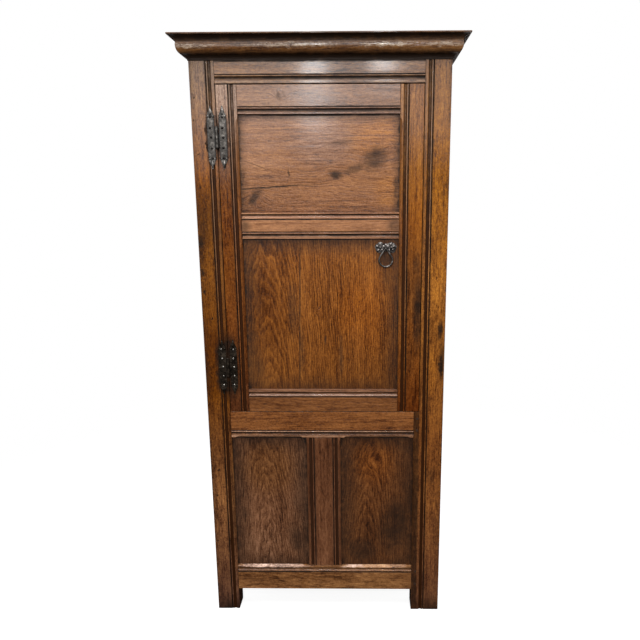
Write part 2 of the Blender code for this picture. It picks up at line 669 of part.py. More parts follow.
def make_inside():
    """Bottom board and shelves on their bearers, the door stop, and the top board."""
    rail_back = FRONT + BACK_RAIL_FRONT
    side_inset = SIDE_THICKNESS + BOARD_ROOM
    notched_board(
        "bottom_board",
        (FRONT + RAIL_THICKNESS + BOARD_ROOM, rail_back - BOARD_ROOM),
        (BODY_LEFT + side_inset, BODY_RIGHT - side_inset),
        (HINGE_JAMB, LOWER_JAMB),
        BOTTOM_BOARD_LEVEL,
        BOTTOM_BOARD_THICKNESS,
    )
    bearer_top = BOTTOM_BOARD_LEVEL - BOTTOM_BOARD_THICKNESS - FIT
    bearer_depths = (FRONT + STILE_DEPTH + FIT, BACK - STILE_DEPTH - FIT)
    for side, face, inward in (
        ("left", BODY_LEFT + SIDE_THICKNESS + FIT, 1),
        ("right", BODY_RIGHT - SIDE_THICKNESS - FIT, -1),
    ):
        far = face + inward * BEARER_THICKNESS
        low = (min(face, far), bearer_depths[0], bearer_top - BEARER_HEIGHT)
        high = (max(face, far), bearer_depths[1], bearer_top)
        part("bottom_bearer_" + side, box(low, high), INSIDE_OAK)
    shelf_front = FRONT + DOOR_THICKNESS + SHELF_SETBACK
    shelf_back = BACK - BACK_BOARD_THICKNESS - BOARD_ROOM
    panel_inset = PANEL_SETBACK + PANEL_THICKNESS + BOARD_ROOM
    for name, level in (("lower", LOWER_SHELF_LEVEL), ("upper", LOWER_SHELF_LEVEL + SHELF_SPACING)):
        notched_board(
            "shelf_" + name,
            (shelf_front, shelf_back),
            (BODY_LEFT + panel_inset, BODY_RIGHT - panel_inset),
            (HINGE_JAMB, LOCK_JAMB),
            level,
            SHELF_THICKNESS,
        )
        top = level - SHELF_THICKNESS - FIT
        for side, face, inward in (("left", HINGE_JAMB + FIT, 1), ("right", LOCK_JAMB - FIT, -1)):
            far = face + inward * BEARER_THICKNESS
            low = (min(face, far), shelf_front, top - BEARER_HEIGHT)
            high = (max(face, far), shelf_back, top)
            part("shelf_" + name + "_bearer_" + side, box(low, high), INSIDE_OAK)
    stop_front = FRONT + DOOR_THICKNESS + FIT
    stop_low = (LOCK_JAMB - FIT - DOOR_STOP_SIZE, stop_front, MIDDLE_RAIL_TOP + DOOR_STOP_END)
    stop_high = (LOCK_JAMB - FIT, stop_front + DOOR_STOP_SIZE, FRIEZE_BASE - DOOR_STOP_END)
    part("door_stop", box(stop_low, stop_high), INSIDE_OAK)
    top_low = (BODY_LEFT, FRONT, HEIGHT - TOP_BOARD_THICKNESS)
    part("top_board", box(top_low, (BODY_RIGHT, BACK, HEIGHT)), CORNICE_OAK)


def cornice_section():
    """Return the cornice moulding as distance out and height: a cove, a swelling ogee, a cove and a lip."""
    cove_out = CORNICE_FOOT + CORNICE_COVE
    swell_out = cove_out + CORNICE_SWELL_OUT
    swell_top = CORNICE_FOOT + CORNICE_COVE + CORNICE_SWELL_RISE
    band_top = swell_top + CORNICE_BAND
    lip_base = CORNICE_HEIGHT - CORNICE_TOP_FILLET
    lip_out = CORNICE_OUT - CORNICE_TOP_LIP
    section = [(FIT, 0), (CORNICE_FOOT, 0)]
    section += arc((cove_out, CORNICE_FOOT), (CORNICE_COVE, CORNICE_COVE), 180, 90, 6)
    section += arc((cove_out, swell_top), (CORNICE_SWELL_OUT, CORNICE_SWELL_RISE), -90, 0, 8)[1:]
    section += [(swell_out - CORNICE_FOOT / 2, band_top)]
    section += arc((lip_out, band_top), (lip_out - swell_out, lip_base - band_top), 180, 90, 6)
    section += [(CORNICE_OUT, lip_base), (CORNICE_OUT, CORNICE_HEIGHT), (FIT, CORNICE_HEIGHT)]
    return section


def make_cornice():
    """Three lengths of moulding, mitred at the front corners and cut square at the back."""
    section = [(height, -out) for out, height in cornice_section()]
    base = HEIGHT - CORNICE_HEIGHT
    mitre_gap = FIT * math.sqrt(2)
    half_side = BODY_DEPTH / 2
    lengths = (
        ("front", BODY_WIDTH / 2, FRONT_PLACE, (-1, 1)),
        ("left", half_side, LEFT_PLACE @ Matrix.Translation((-(FRONT + BACK) / 2, 0, 0)), (1,)),
        ("right", half_side, RIGHT_PLACE @ Matrix.Translation(((FRONT + BACK) / 2, 0, 0)), (-1,)),
    )
    for name, half, place, mitred_ends in lengths:
        shape = prism(section, -half, half, ACROSS_RAIL)
        for corner in shape.verts:
            end = math.copysign(1, corner.co.x)
            if end in mitred_ends:
                corner.co.x += end * (-corner.co.y - mitre_gap)
            corner.co.z += base
        part("cornice_" + name, shape, CORNICE_OAK, place, smooth=True)


def make_door(axis):
    """The door frame: two stiles, three rails and two panels."""
    inner = (DOOR_INNER_LEFT, DOOR_INNER_RIGHT)
    top_edges = (DOOR_TOP_RAIL_BASE, DOOR_TOP)
    middle_edges = (DOOR_MIDDLE_RAIL_BASE, DOOR_MIDDLE_RAIL_TOP)
    bottom_edges = (DOOR_BASE, DOOR_BOTTOM_RAIL_TOP)
    openings = (
        (DOOR_MIDDLE_RAIL_TOP, DOOR_TOP_RAIL_BASE),
        (DOOR_BOTTOM_RAIL_TOP, DOOR_MIDDLE_RAIL_BASE),
    )
    style = (DOOR_THICKNESS, FRONT_PLACE)
    rail("door_top_rail", inner, top_edges, *style, (NARROW_FILLET, None), (True, False), axis)
    rail("door_middle_rail", inner, middle_edges, *style, (NARROW_FILLET, NARROW_FILLET), (True, True), axis)
    rail("door_bottom_rail", inner, bottom_edges, *style, (None, FILLET), (False, True), axis)
    stiles = (
        ("door_hinge_stile", DOOR_LEFT, DOOR_HINGE_STILE_WIDTH, (None, FILLET), inner[0], -1, RIGHTWARD),
        ("door_lock_stile", DOOR_INNER_RIGHT, DOOR_LOCK_STILE_WIDTH, (FILLET, None), inner[1], 1, LEFTWARD),
    )
    for name, left, width, fillets, edge, wood_side, opening in stiles:
        section = shifted(board_section(width, DOOR_THICKNESS, *fillets), left)
        stile = part(name, prism(section, DOOR_BASE, DOOR_TOP, IN_PLAN), FRAME_OAK, FRONT_PLACE, axis)
        cuts = [mortise(inner, edges) for edges in (top_edges, middle_edges, bottom_edges)]
        for low, high in openings:
            cuts.append(panel_groove(edge, wood_side, low, high))
            cuts.append(upright_chamfer(edge, opening, low, high))
        combine_with(stile, cuts, "DIFFERENCE", FRONT_PLACE)
    panel("door_upper_panel", inner, openings[0], PALE_PANEL, FRONT_PLACE, axis)
    lower = panel("door_lower_panel", inner, openings[1], GOLDEN_PANEL, FRONT_PLACE, axis)
    hole = rod((HANDLE_X, PANEL_FACE, HANDLE_Z), (0, 1, 0), 4 * PANEL_THICKNESS, SHANK_RADIUS + FIT)
    combine_with(lower, [hole], "DIFFERENCE", WORLD_PLACE)


def leaf_outline(inner_edge, outward):
    """Return a hinge leaf's outline: a straight plate with an eared, pointed finial at each end."""
    half_width = LEAF_WIDTH / 2
    half_height = LEAF_HEIGHT / 2
    ear_width = half_width + FINIAL_FLARE
    ear_height = half_height + FINIAL_EAR
    quarter = [(half_width, half_height), (half_width - FINIAL_NECK, half_height + FINIAL_NECK)]
    for step in range(FINIAL_STEPS + 1):
        share = step / FINIAL_STEPS
        across = FINIAL_TIP + (ear_width - FINIAL_TIP) * (1 - share) ** FINIAL_HOLLOW
        quarter.append((across, ear_height + share * (FINIAL_LENGTH - FINIAL_EAR)))
    top = quarter + [(-across, up) for across, up in reversed(quarter)]
    outline = top + [(-across, -up) for across, up in top]
    middle = inner_edge + outward * half_width
    return [(across + middle, up) for across, up in outline]


def make_hinge(name, height, axis):
    """An H hinge: the frame leaf has the outer knuckles, the door leaf the middle one, on one pin."""
    reach = BARREL_RADIUS + BARREL_CLEARANCE
    knuckle = BARREL_LENGTH / 3
    leaf_front = -FIT - LEAF_THICKNESS
    pin_deep = PIN_Y - FRONT
    place = FRONT_PLACE @ Matrix.Translation((0, 0, height))
    leaves = (
        ("frame_leaf", PIN_X - reach, -1, (-1, 1), None),
        ("door_leaf", PIN_X + reach, 1, (0,), axis),
    )
    for leaf_name, inner_edge, outward, thirds, leaf_axis in leaves:
        plate = prism(leaf_outline(inner_edge, outward), FIT, FIT + LEAF_THICKNESS, FACING_FRONT)
        leaf = part("hinge_" + name + "_" + leaf_name, plate, WROUGHT_IRON, place, leaf_axis)
        knuckles = []
        for third in thirds:
            middle = third * knuckle
            barrel = rod((PIN_X, pin_deep, middle), UPWARD, knuckle - FIT, BARREL_RADIUS)
            knuckles.append(barrel)
        combine_with(leaf, knuckles, "UNION", place)
        webs = []
        for third in thirds:
            root = inner_edge + outward * BARREL_CLEARANCE
            low = (min(PIN_X, root), leaf_front, third * knuckle - knuckle / 2 + FIT)
            high = (max(PIN_X, root), -FIT * 2, third * knuckle + knuckle / 2 - FIT)
            webs.append(box(low, high))
        combine_with(leaf, webs, "UNION", place)
        bore = rod((PIN_X, pin_deep, 0), UPWARD, 2 * BARREL_LENGTH, PIN_RADIUS + FIT)
        combine_with(leaf, [bore], "DIFFERENCE", place)
    make_pin("hinge_" + name + "_pin", height)


def make_pin(name, height):
    """A turned pin with a domed head over each end of the barrel."""
    half = BARREL_LENGTH / 2 + FIT
    dome = arc((0, half), (PIN_HEAD_RADIUS, PIN_HEAD_HEIGHT), 90, 0, 4)
    profile = dome + [(PIN_RADIUS, half)]
    profile += [(radius, -level) for radius, level in reversed(profile)]
    shape = bmesh.new()
    points = [shape.verts.new((radius, 0, level)) for radius, level in profile]
    for upper, lower in zip(points, points[1:]):
        shape.edges.new((upper, lower))
    pin = part(name, shape, WROUGHT_IRON, Matrix.Translation((PIN_X, PIN_Y, height)))
    turn = pin.modifiers.new("turned", "SCREW")
    turn.steps = ROUND_STEPS
    turn.render_steps = ROUND_STEPS
    turn.use_merge_vertices = True
    turn.merge_threshold = 0.00001


def rosette_outline(side):
    """Return the outline of one lobe of the handle plate, scalloped into petals."""
    outline = []
    for step in range(2 * ROUND_STEPS):
        turn = math.pi * step / ROUND_STEPS
        reach = PLATE_LOBE_RADIUS + PLATE_SCALLOP * math.cos(PLATE_PETALS * turn)
        across = HANDLE_X + side * (PLATE_LOBE_SPREAD + reach * math.sin(turn))
        outline.append((across, HANDLE_Z + PLATE_RISE + reach * math.cos(turn)))
    return outline


def make_handle(axis, swing):
    """A two-lobed plate and a clenched staple on the door panel, and the pear drop that swings in its eye."""
    place = Matrix.Translation((0, PANEL_FACE, 0))
    middle = (HANDLE_X, HANDLE_Z + PLATE_RISE)
    outline = arc(middle, (PLATE_BRIDGE_RADIUS, PLATE_BRIDGE_RADIUS), 0, 360, ROUND_STEPS)[:-1]
    bridge = prism(outline, FIT, FIT + PLATE_THICKNESS - PLATE_SINK, FACING_FRONT)
    plate = part("handle_plate", bridge, WROUGHT_IRON, place, axis)
    for side in (-1, 1):
        lobe = prism(rosette_outline(side), FIT, FIT + PLATE_THICKNESS, FACING_FRONT)
        combine_with(plate, [lobe], "UNION", place)
    hole = rod((HANDLE_X, 0, HANDLE_Z), (0, 1, 0), 4 * PLATE_THICKNESS, SHANK_RADIUS + FIT)
    combine_with(plate, [hole], "DIFFERENCE", place)

    panel_back = PANEL_FACE + PANEL_THICKNESS
    eye = wire_loop(arc((0, 0), (EYE_RADIUS, EYE_RADIUS), 0, 360, ROUND_STEPS)[:-1], EYE_WIRE)
    eye.transform(Matrix.Translation((HANDLE_X, HANDLE_Y, HANDLE_Z)) @ Matrix.Rotation(math.pi / 2, 4, "Y"))
    staple = part("handle_staple", eye, WROUGHT_IRON, axis=axis, smooth=True)
    shank_start = HANDLE_Y + EYE_RADIUS
    shank_end = panel_back + FIT + EYE_WIRE
    shank_middle = (HANDLE_X, (shank_start + shank_end) / 2, HANDLE_Z)
    shank = rod(shank_middle, (0, 1, 0), shank_end - shank_start, SHANK_RADIUS)
    combine_with(staple, [shank], "UNION", WORLD_PLACE)
    clench_low = (HANDLE_X - CLENCH_LENGTH, panel_back + FIT, HANDLE_Z - EYE_WIRE)
    clench_high = (HANDLE_X + CLENCH_LENGTH, panel_back + FIT + EYE_WIRE, HANDLE_Z + EYE_WIRE)
    combine_with(staple, [box(clench_low, clench_high)], "UNION", WORLD_PLACE)

    drop = wire_loop(pear_outline(), DROP_WIRE, pear_swelling)
    drop.transform(Matrix.Rotation(math.pi / 2, 4, "X"))
    place = Matrix.Translation((HANDLE_X, HANDLE_Y, DROP_PIVOT_Z))
    part("handle_drop", drop, WROUGHT_IRON, place, swing, smooth=True)


def wire_loop(points, radius, swelling=None):
    """Return a round wire along a closed path drawn on the page."""
    curve = bpy.data.curves.new("wire", "CURVE")
    curve.dimensions = "3D"
    curve.bevel_depth = radius
    curve.bevel_resolution = (WIRE_STEPS - 4) // 2
    spline = curve.splines.new("POLY")
    spline.points.add(len(points) - 1)
    for slot, (across, up) in zip(spline.points, points):
        slot.co = (across, up, 0, 1)
        slot.radius = 1 if swelling is None else swelling(up)
    spline.use_cyclic_u = True
    return mesh_from_curve(curve)


def pear_outline():
    """Return the drop's middle line: a small bend in the eye, straight sides and a wide bow below."""
    apex_height = -DROP_APEX_RADIUS
    bow_height = DROP_BOW_RADIUS - DROP_LENGTH
    lean = math.degrees(math.asin((DROP_BOW_RADIUS - DROP_APEX_RADIUS) / (apex_height - bow_height)))
    apex = arc((0, apex_height), (DROP_APEX_RADIUS, DROP_APEX_RADIUS), lean, 180 - lean, 10)
    bow = arc((0, bow_height), (DROP_BOW_RADIUS, DROP_BOW_RADIUS), 180 - lean, 360 + lean, 22)
    return apex + bow


def pear_swelling(level):
    """Return how much thicker the wire is, lower down the drop."""
    share = min(1.0, -level / DROP_LENGTH)
    return DROP_APEX_SLIMMING + (DROP_BOW_SWELLING - DROP_APEX_SLIMMING) * share


make_front_stiles()
make_back_stiles()
make_front_rails()
make_sides()
make_back()
make_inside()
make_cornice()
door_axis = axis_empty("door_axis", (PIN_X, PIN_Y, (DOOR_BASE + DOOR_TOP) / 2))
drop_axis = axis_empty("drop_axis", (HANDLE_X, HANDLE_Y, DROP_PIVOT_Z), door_axis)
make_door(door_axis)
make_hinge("upper", DOOR_TOP - HINGE_INSET, door_axis)
make_hinge("lower", DOOR_BASE + HINGE_INSET, door_axis)
make_handle(door_axis, drop_axis)
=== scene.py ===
import math
import random

import bmesh
import bpy
from mathutils import Matrix, Vector


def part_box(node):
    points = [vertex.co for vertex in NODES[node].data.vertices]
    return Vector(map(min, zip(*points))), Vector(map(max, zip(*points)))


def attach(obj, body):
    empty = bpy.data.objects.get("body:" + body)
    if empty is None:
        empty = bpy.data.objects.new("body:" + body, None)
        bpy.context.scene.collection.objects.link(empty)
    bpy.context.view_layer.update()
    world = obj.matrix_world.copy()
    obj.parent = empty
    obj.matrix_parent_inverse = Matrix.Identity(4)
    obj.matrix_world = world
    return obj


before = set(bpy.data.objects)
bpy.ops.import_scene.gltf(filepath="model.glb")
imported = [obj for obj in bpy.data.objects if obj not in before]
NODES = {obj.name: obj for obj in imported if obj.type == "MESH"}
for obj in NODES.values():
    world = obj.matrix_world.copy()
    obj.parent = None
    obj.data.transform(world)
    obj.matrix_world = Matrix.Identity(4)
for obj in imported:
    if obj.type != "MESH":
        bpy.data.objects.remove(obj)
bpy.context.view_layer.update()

# Places that the solids share with the paint and the fittings, in metres.
FRONT = -0.187
PANEL_FACE = -0.178
SIDE_FACE = 0.380
HINGE_JAMB = -0.307
LOCK_JAMB = 0.3035
LOWER_JAMB = 0.2865
MUNTIN_LEFT = -0.06325
MUNTIN_RIGHT = 0.04875
BOTTOM_RAIL_TOP = 0.169
MIDDLE_RAIL_BASE = 0.633
MIDDLE_RAIL_TOP = 0.722
FRIEZE_BASE = 1.7235
SIDE_RAIL_BASE = 1.695
SIDE_PANEL_FRONT = -0.131
SIDE_PANEL_BACK = 0.177
DOOR_LEFT = -0.2445
DOOR_RIGHT = 0.2325
DOOR_BOTTOM_RAIL_TOP = 0.797
DOOR_MIDDLE_RAIL_BASE = 1.277
DOOR_MIDDLE_RAIL_TOP = 1.355
DOOR_TOP_RAIL_BASE = 1.639
FILLET = 0.0095
NARROW_FILLET = 0.005
HINGE_LEVELS = {"upper": 1.5725, "lower": 0.872}
KNUCKLE = -0.306
LEAF_COLUMNS = {"frame": -0.3235, "door": -0.2885}
LEAF_BODIES = {"frame": "carcass", "door": "door"}
LEAF_FACE = -0.1898
HANDLE = Vector((0.1925, -0.1813, 1.246))


class Paint:
    """The node tree of a material or of the world, built one node at a time."""

    def __init__(self, owner):
        owner.use_nodes = True
        self.owner = owner
        self.tree = owner.node_tree
        self.tree.nodes.clear()

    def put(self, socket, value):
        if isinstance(value, bpy.types.NodeSocket):
            self.tree.links.new(value, socket)
        else:
            socket.default_value = value

    def node(self, kind, inputs=(), **settings):
        made = self.tree.nodes.new("ShaderNode" + kind)
        for key, value in settings.items():
            setattr(made, key, value)
        for key, value in dict(inputs).items():
            self.put(made.inputs[key], value)
        return made

    def place(self):
        return self.node("TexCoord").outputs["Object"]

    def math(self, operation, *values, clamp=False):
        made = self.node("Math", enumerate(values), operation=operation, use_clamp=clamp)
        return made.outputs[0]

    def total(self, start, *terms):
        """Return start plus each value less its middle, times its weight."""
        for value, middle, weight in terms:
            start = self.math("MULTIPLY_ADD", self.math("SUBTRACT", value, middle), weight, start)
        return start

    def most(self, first, second, weight=1.0):
        return self.math("MAXIMUM", first, self.math("MULTIPLY", second, weight))

    def vector(self, operation, *values):
        made = self.node("VectorMath", enumerate(values), operation=operation)
        return made.outputs["Value" if operation == "LENGTH" else "Vector"]

    def apart(self, vector):
        return dict(zip("xyz", self.node("SeparateXYZ", {0: vector}).outputs))

    def together(self, *values):
        return self.node("CombineXYZ", enumerate(values)).outputs[0]

    def noise(self, vector, pitch, detail=2.0, roughness=0.5, output="Fac"):
        """Return noise of a pitch per metre: one number, or one along the grain and one across."""
        along, across = pitch if isinstance(pitch, tuple) else (pitch, pitch)
        stretched = self.vector("MULTIPLY", vector, (along, across, across))
        inputs = {"Vector": stretched, "Scale": 1.0, "Detail": detail, "Roughness": roughness}
        return self.node("TexNoise", inputs).outputs[output]

    def step(self, value, low, high, start=0.0, end=1.0):
        inputs = {"Value": value, "From Min": low, "From Max": high, "To Min": start, "To Max": end}
        return self.node("MapRange", inputs, interpolation_type="SMOOTHSTEP").outputs["Result"]

    def fall(self, value, low, high):
        return self.step(value, low, high, 1.0, 0.0)

    def ramp(self, value, stops):
        """Return what lies between stops, each a position from 0 to 1 and a colour or a level."""
        made = self.node("ValToRGB", {"Fac": value})
        elements = made.color_ramp.elements
        while len(elements) < len(stops):
            elements.new(1.0)
        for element, (at, level) in zip(elements, stops):
            colour = level if isinstance(level, tuple) else (level, level, level)
            element.position = at
            element.color = (*colour, 1.0)
        return made.outputs["Color"]

    def places(self, value, stops):
        """Return a ramp whose stops are given in metres."""
        first, last = stops[0][0], stops[-1][0]
        span = last - first
        share = self.math("MULTIPLY", self.math("SUBTRACT", value, first), 1 / span)
        return self.ramp(share, [((at - first) / span, level) for at, level in stops])

    def mix(self, factor, first, second, blend="MIX"):
        """Mix two colours, which are inputs 6 and 7 of a mix node, into its output 2."""
        made = self.node("Mix", data_type="RGBA", blend_type=blend)
        for number, value in ((0, factor), (6, first), (7, second)):
            self.put(made.inputs[number], (*value, 1.0) if isinstance(value, tuple) else value)
        return made.outputs[2]

    def times(self, colour, tint):
        return self.mix(1.0, colour, tint, "MULTIPLY")

    def spot(self, place, centre, radii, inner, angle=0.0):
        """Return 1 in the middle of an ellipse on a front face, fading to 0 at its edge."""
        off = self.vector("SUBTRACT", place, centre)
        if angle:
            turn = {"Vector": off, "Angle": math.radians(angle)}
            off = self.node("VectorRotate", turn, rotation_type="Y_AXIS").outputs[0]
        wide, high = radii
        share = self.vector("LENGTH", self.vector("MULTIPLY", off, (1 / wide, 0.0, 1 / high)))
        return self.fall(share, inner, 1.0)

    def hidden(self, distance):
        """Return 1 on an open face and less in a corner."""
        inputs = {"Distance": distance}
        return self.node("AmbientOcclusion", inputs, samples=6).outputs["AO"]

    def bump(self, strength, distance, height):
        inputs = {"Strength": strength, "Distance": distance, "Height": height}
        return self.node("Bump", inputs).outputs[0]

    def finish(self, shader):
        kind = "OutputWorld" if isinstance(self.owner, bpy.types.World) else "OutputMaterial"
        self.node(kind, {"Surface": shader.outputs[0]})
        return self.owner


def scaled(colour, *factors):
    return tuple(c * f for c, f in zip(colour, factors))


# Noises in the oak: pitch per metre (along the grain and across it, or one for both), detail and
# roughness.
JOLT = (55.0, 3.0, 0.6)
BEND = ((7.0, 20.0), 3.0, 0.5)
DRIFT = ((9.0, 45.0), 3.0, 0.6)
RING = (1.0, 2.0, 0.6)
FIBRE = ((42.0, 300.0), 3.0, 0.75)
PORES = ((75.0, 420.0), 2.0, 0.6)
LINES = ((5.0, 170.0), 2.0, 0.6)
STREAKS = ((4.0, 85.0), 3.0, 0.6)
GRIT = (190.0, 3.0, 0.75)
PATCHES = ((15.0, 34.0), 3.0, 0.6)
BROAD = ((1.6, 6.0), 4.0, 0.6)
MOTTLE = ((55.0, 150.0), 3.0, 0.6)
PLANE = ((4.0, 34.0), 2.0, 0.5)
JAG = (22.0, 3.0, 0.5)
PITS = (95.0, 2.0, 0.6)
PATCHY = (30.0, 4.0, 0.6)

# How far, in metres, the noises push the edges of stains, the growth rings and the cracks, and how
# far along the grain the second board of a panel starts.
JOLT_REACH = 0.020
BEND_ASIDE = 0.024
BEND_DEEP = 0.018
JAG_REACH = 0.008
NEXT_BOARD = 2.7

# The seasons, as shares of a year's ring, the slow change of a ring along the grain, and the
# levels of noise at which fine features set in.
EARLY_ENDS = (0.0, 0.42)
EARLY_BEGINS = (0.86, 1.0)
RIM_BEGINS = (0.48, 0.70)
RIM_ENDS = (0.74, 0.90)
RING_ALONG = 3.0
PORES_BEGIN = (0.52, 0.66)
LINES_BEGIN = (0.54, 0.66)
STREAK_BEGINS = (0.40, 0.56)
PITS_BEGIN = (0.66, 0.74)
PATCHY_RANGE = (0.3, 0.7, 0.78, 1.15)

# Shares of a spot or a crack that have its full strength, dirt in seams, dirt and painted shade in
# corners, and relief.
PALE_CORE = 0.3
MARK_CORE = 0.25
CRACK_CORE = 0.3
SEAM_REACH = (0.0006, 0.0036)
SEAM_DIRT = 0.75
CORNER_REACH = 0.014
CORNER_OPENS = (0.25, 0.75)
CORNER_DIRT_AND_SHADE = 0.85
GRAIN_BUMP = (0.4, 0.0014)

# Tints of the oak, as factors of a board's middle colour.
DEEPEST = (0.22, 0.18, 0.16)
DEEP = (0.56, 0.50, 0.46)
DUSTY = (1.52, 1.66, 1.80)
HONEY = (1.55, 1.62, 1.35)
BRIGHTEST = (1.32, 1.42, 1.5)
# CHALK and the rubbed tint below it pale the beads and fillets of the mouldings, partly as wear and
# partly as a painted highlight.
CHALK = (2.2, 3.9, 11.0)
GOLD = (1.30, 1.25, 0.85)
WEAR_AND_HIGHLIGHT = (1.35, 1.40, 1.60)

# The colour of dirt and of painted shade, a warmer one for the lower hollows of the upright mouldings,
# and the pale colour that the upright beads take higher up, partly wear and partly a painted highlight.
DIRT_AND_SHADE = (0.019, 0.0085, 0.0035)
WARM_DIRT_AND_SHADE = (0.043, 0.0115, 0.0008)
PALE_BEAD = (0.38, 0.25, 0.17)
RAW_SHINE = 0.15

# Dirt and painted shade, wear and painted highlights, across the run moulding, by the share of its
# span from a little before the end of its fillet. An upright one is dark in all its hollows; a level
# one is painted lighter where it faces up.
MOULDING_SPAN = 0.040
MOULDING_LEAD = 0.012
UPRIGHT_DIRT_AND_SHADE = [(0.0, 0.75), (0.08, 0.55), (0.12, 0.15), (0.27, 0.10), (0.31, 0.60), (0.35, 1.0),
                (0.535, 1.0), (0.56, 0.15), (0.62, 0.15), (0.77, 0.15), (1.0, 0.0)]
UPRIGHT_HOLLOW = [(0.31, 0.0), (0.36, 1.0), (0.535, 1.0), (0.56, 0.0)]
UPRIGHT_QUIRK = [(0.0, 0.0), (0.615, 0.0), (0.64, 0.95), (0.72, 0.95), (0.77, 0.0)]
UPRIGHT_WEAR_AND_HIGHLIGHT = [(0.0, 0.0), (0.12, 0.1), (0.20, 0.2), (0.27, 0.1), (0.31, 0.0), (0.55, 0.0),
                (0.575, 0.8), (0.61, 0.8), (0.63, 0.0)]
TOP_EDGE_DIRT_AND_SHADE = [(0.0, 0.0), (0.26, 0.0), (0.29, 1.0), (0.37, 1.0), (0.42, 0.15), (0.50, 0.0),
                 (0.61, 0.0), (0.64, 0.95), (0.71, 0.95), (0.75, 0.0)]
TOP_EDGE_WEAR_AND_HIGHLIGHT = [(0.0, 0.25), (0.16, 0.45), (0.25, 0.35), (0.28, 0.0), (0.42, 0.0), (0.47, 0.8),
                 (0.58, 0.9), (0.63, 0.2), (0.64, 0.0)]
LOW_EDGE_DIRT_AND_SHADE = [(0.0, 0.55), (0.08, 0.40), (0.13, 0.05), (0.21, 0.05), (0.28, 0.38), (0.35, 0.55),
                 (0.41, 1.0), (0.535, 1.0), (0.56, 0.0), (0.61, 0.0), (0.64, 0.95), (0.70, 0.95),
                 (0.74, 0.0)]
LOW_EDGE_WEAR_AND_HIGHLIGHT = [(0.0, 0.0), (0.08, 0.1), (0.13, 0.7), (0.23, 0.7), (0.31, 0.1), (0.36, 0.0),
                 (0.55, 0.0), (0.575, 0.9), (0.61, 0.9), (0.64, 0.0)]

# The upright mouldings are darker lower down, from dirt and painted shade, and their beads are
# paler higher up, from wear and a painted highlight.
DARKER_BELOW = 1.15
LIGHTER_ABOVE = 1.62
SHARE_KEPT_ABOVE = 0.80
BEAD_PALES = (0.80, 1.70)

# Where the dirt and painted shade round a panel begin, outside or inside its opening, and how
# strong they are; the last reach is a painted shadow under the rail above the panel.
PANEL_SLIP = 0.002
PANEL_LEDGE = 0.012
PANEL_CORNER = 0.05
PANEL_STAIN_START = -0.01
PANEL_STAIN = 0.72
PANEL_RIM_REACH = (-0.002, 0.011)
PANEL_RIM = 0.88
PANEL_SHADE_REACH = (0.003, 0.009)


def run_mouldings(paint, at, colour, edges, wear, rubbed):
    """Return a board's colour, with wear and painted highlights, and its dirt and painted shade,
    plain and warm, along its moulded edges.
    """
    dirt_and_shade = warm = 0.0
    for axis, edge, sign, fillet in edges:
        inward = paint.math("MULTIPLY", paint.math("SUBTRACT", at[axis], edge), sign)
        inward = paint.math("SUBTRACT", inward, fillet - MOULDING_LEAD)
        share = paint.math("MULTIPLY", inward, 1 / MOULDING_SPAN)
        if axis == "x":
            upper = paint.step(at["z"], DARKER_BELOW, LIGHTER_ABOVE)
            kept = paint.math("MULTIPLY_ADD", upper, SHARE_KEPT_ABOVE - 1.0, 1.0)
            dirt_and_shade = paint.most(dirt_and_shade, paint.ramp(share, UPRIGHT_DIRT_AND_SHADE), kept)
            dirt_and_shade = paint.most(dirt_and_shade, paint.ramp(share, UPRIGHT_QUIRK))
            lower = paint.math("SUBTRACT", 1.0, upper)
            warm = paint.most(warm, paint.ramp(share, UPRIGHT_HOLLOW), lower)
            bead = paint.step(at["z"], *BEAD_PALES)
            crest = paint.mix(bead, paint.times(colour, rubbed), PALE_BEAD)
            colour = paint.mix(paint.ramp(share, UPRIGHT_WEAR_AND_HIGHLIGHT), colour, crest)
        else:
            faces_up = sign < 0
            dirt_and_shade = paint.most(dirt_and_shade, paint.ramp(share, TOP_EDGE_DIRT_AND_SHADE if faces_up else LOW_EDGE_DIRT_AND_SHADE))
            worn = paint.ramp(share, TOP_EDGE_WEAR_AND_HIGHLIGHT if faces_up else LOW_EDGE_WEAR_AND_HIGHLIGHT)
            worn = paint.math("MULTIPLY", worn, wear)
            colour = paint.mix(worn, colour, paint.times(colour, CHALK))
    return colour, dirt_and_shade, warm


def panel_dirt_and_shadow(paint, height, wavy, level, opening):
    """Return the dirt and painted shade round a panel, and a painted shadow under the rail above it."""
    first, last, base, top, reach = opening
    nearest = paint.math("SUBTRACT", wavy[level], first + PANEL_SLIP)
    for other in (paint.math("SUBTRACT", last - PANEL_SLIP, wavy[level]),
                  paint.math("SUBTRACT", wavy["z"], base - PANEL_LEDGE),
                  paint.math("SUBTRACT", top + PANEL_SLIP, wavy["z"])):
        nearest = paint.math("SMOOTH_MIN", nearest, other, PANEL_CORNER)
    dirt_and_shade = paint.math("MULTIPLY", paint.fall(nearest, PANEL_STAIN_START, reach), PANEL_STAIN)
    dirt_and_shade = paint.most(dirt_and_shade, paint.fall(nearest, *PANEL_RIM_REACH), PANEL_RIM)
    return paint.most(dirt_and_shade, paint.fall(paint.math("SUBTRACT", top, height), *PANEL_SHADE_REACH))


def crack(paint, place, along, aside, line, width):
    """Return a jagged line that begins at one place on the grain and thins out to another."""
    begin, end, offset, slope = line
    path = paint.math("MULTIPLY_ADD", paint.math("SUBTRACT", along, begin), slope, offset)
    jag = paint.math("MULTIPLY_ADD", paint.noise(place, *JAG), 2 * JAG_REACH, -JAG_REACH)
    gap = paint.math("ABSOLUTE", paint.math("SUBTRACT", aside, paint.math("ADD", path, jag)))
    length = paint.fall(along, begin + (end - begin) * CRACK_CORE, end)
    length = paint.math("MULTIPLY", length, paint.math("GREATER_THAN", along, begin))
    return paint.math("MULTIPLY", paint.fall(gap, width * CRACK_CORE, width), length)


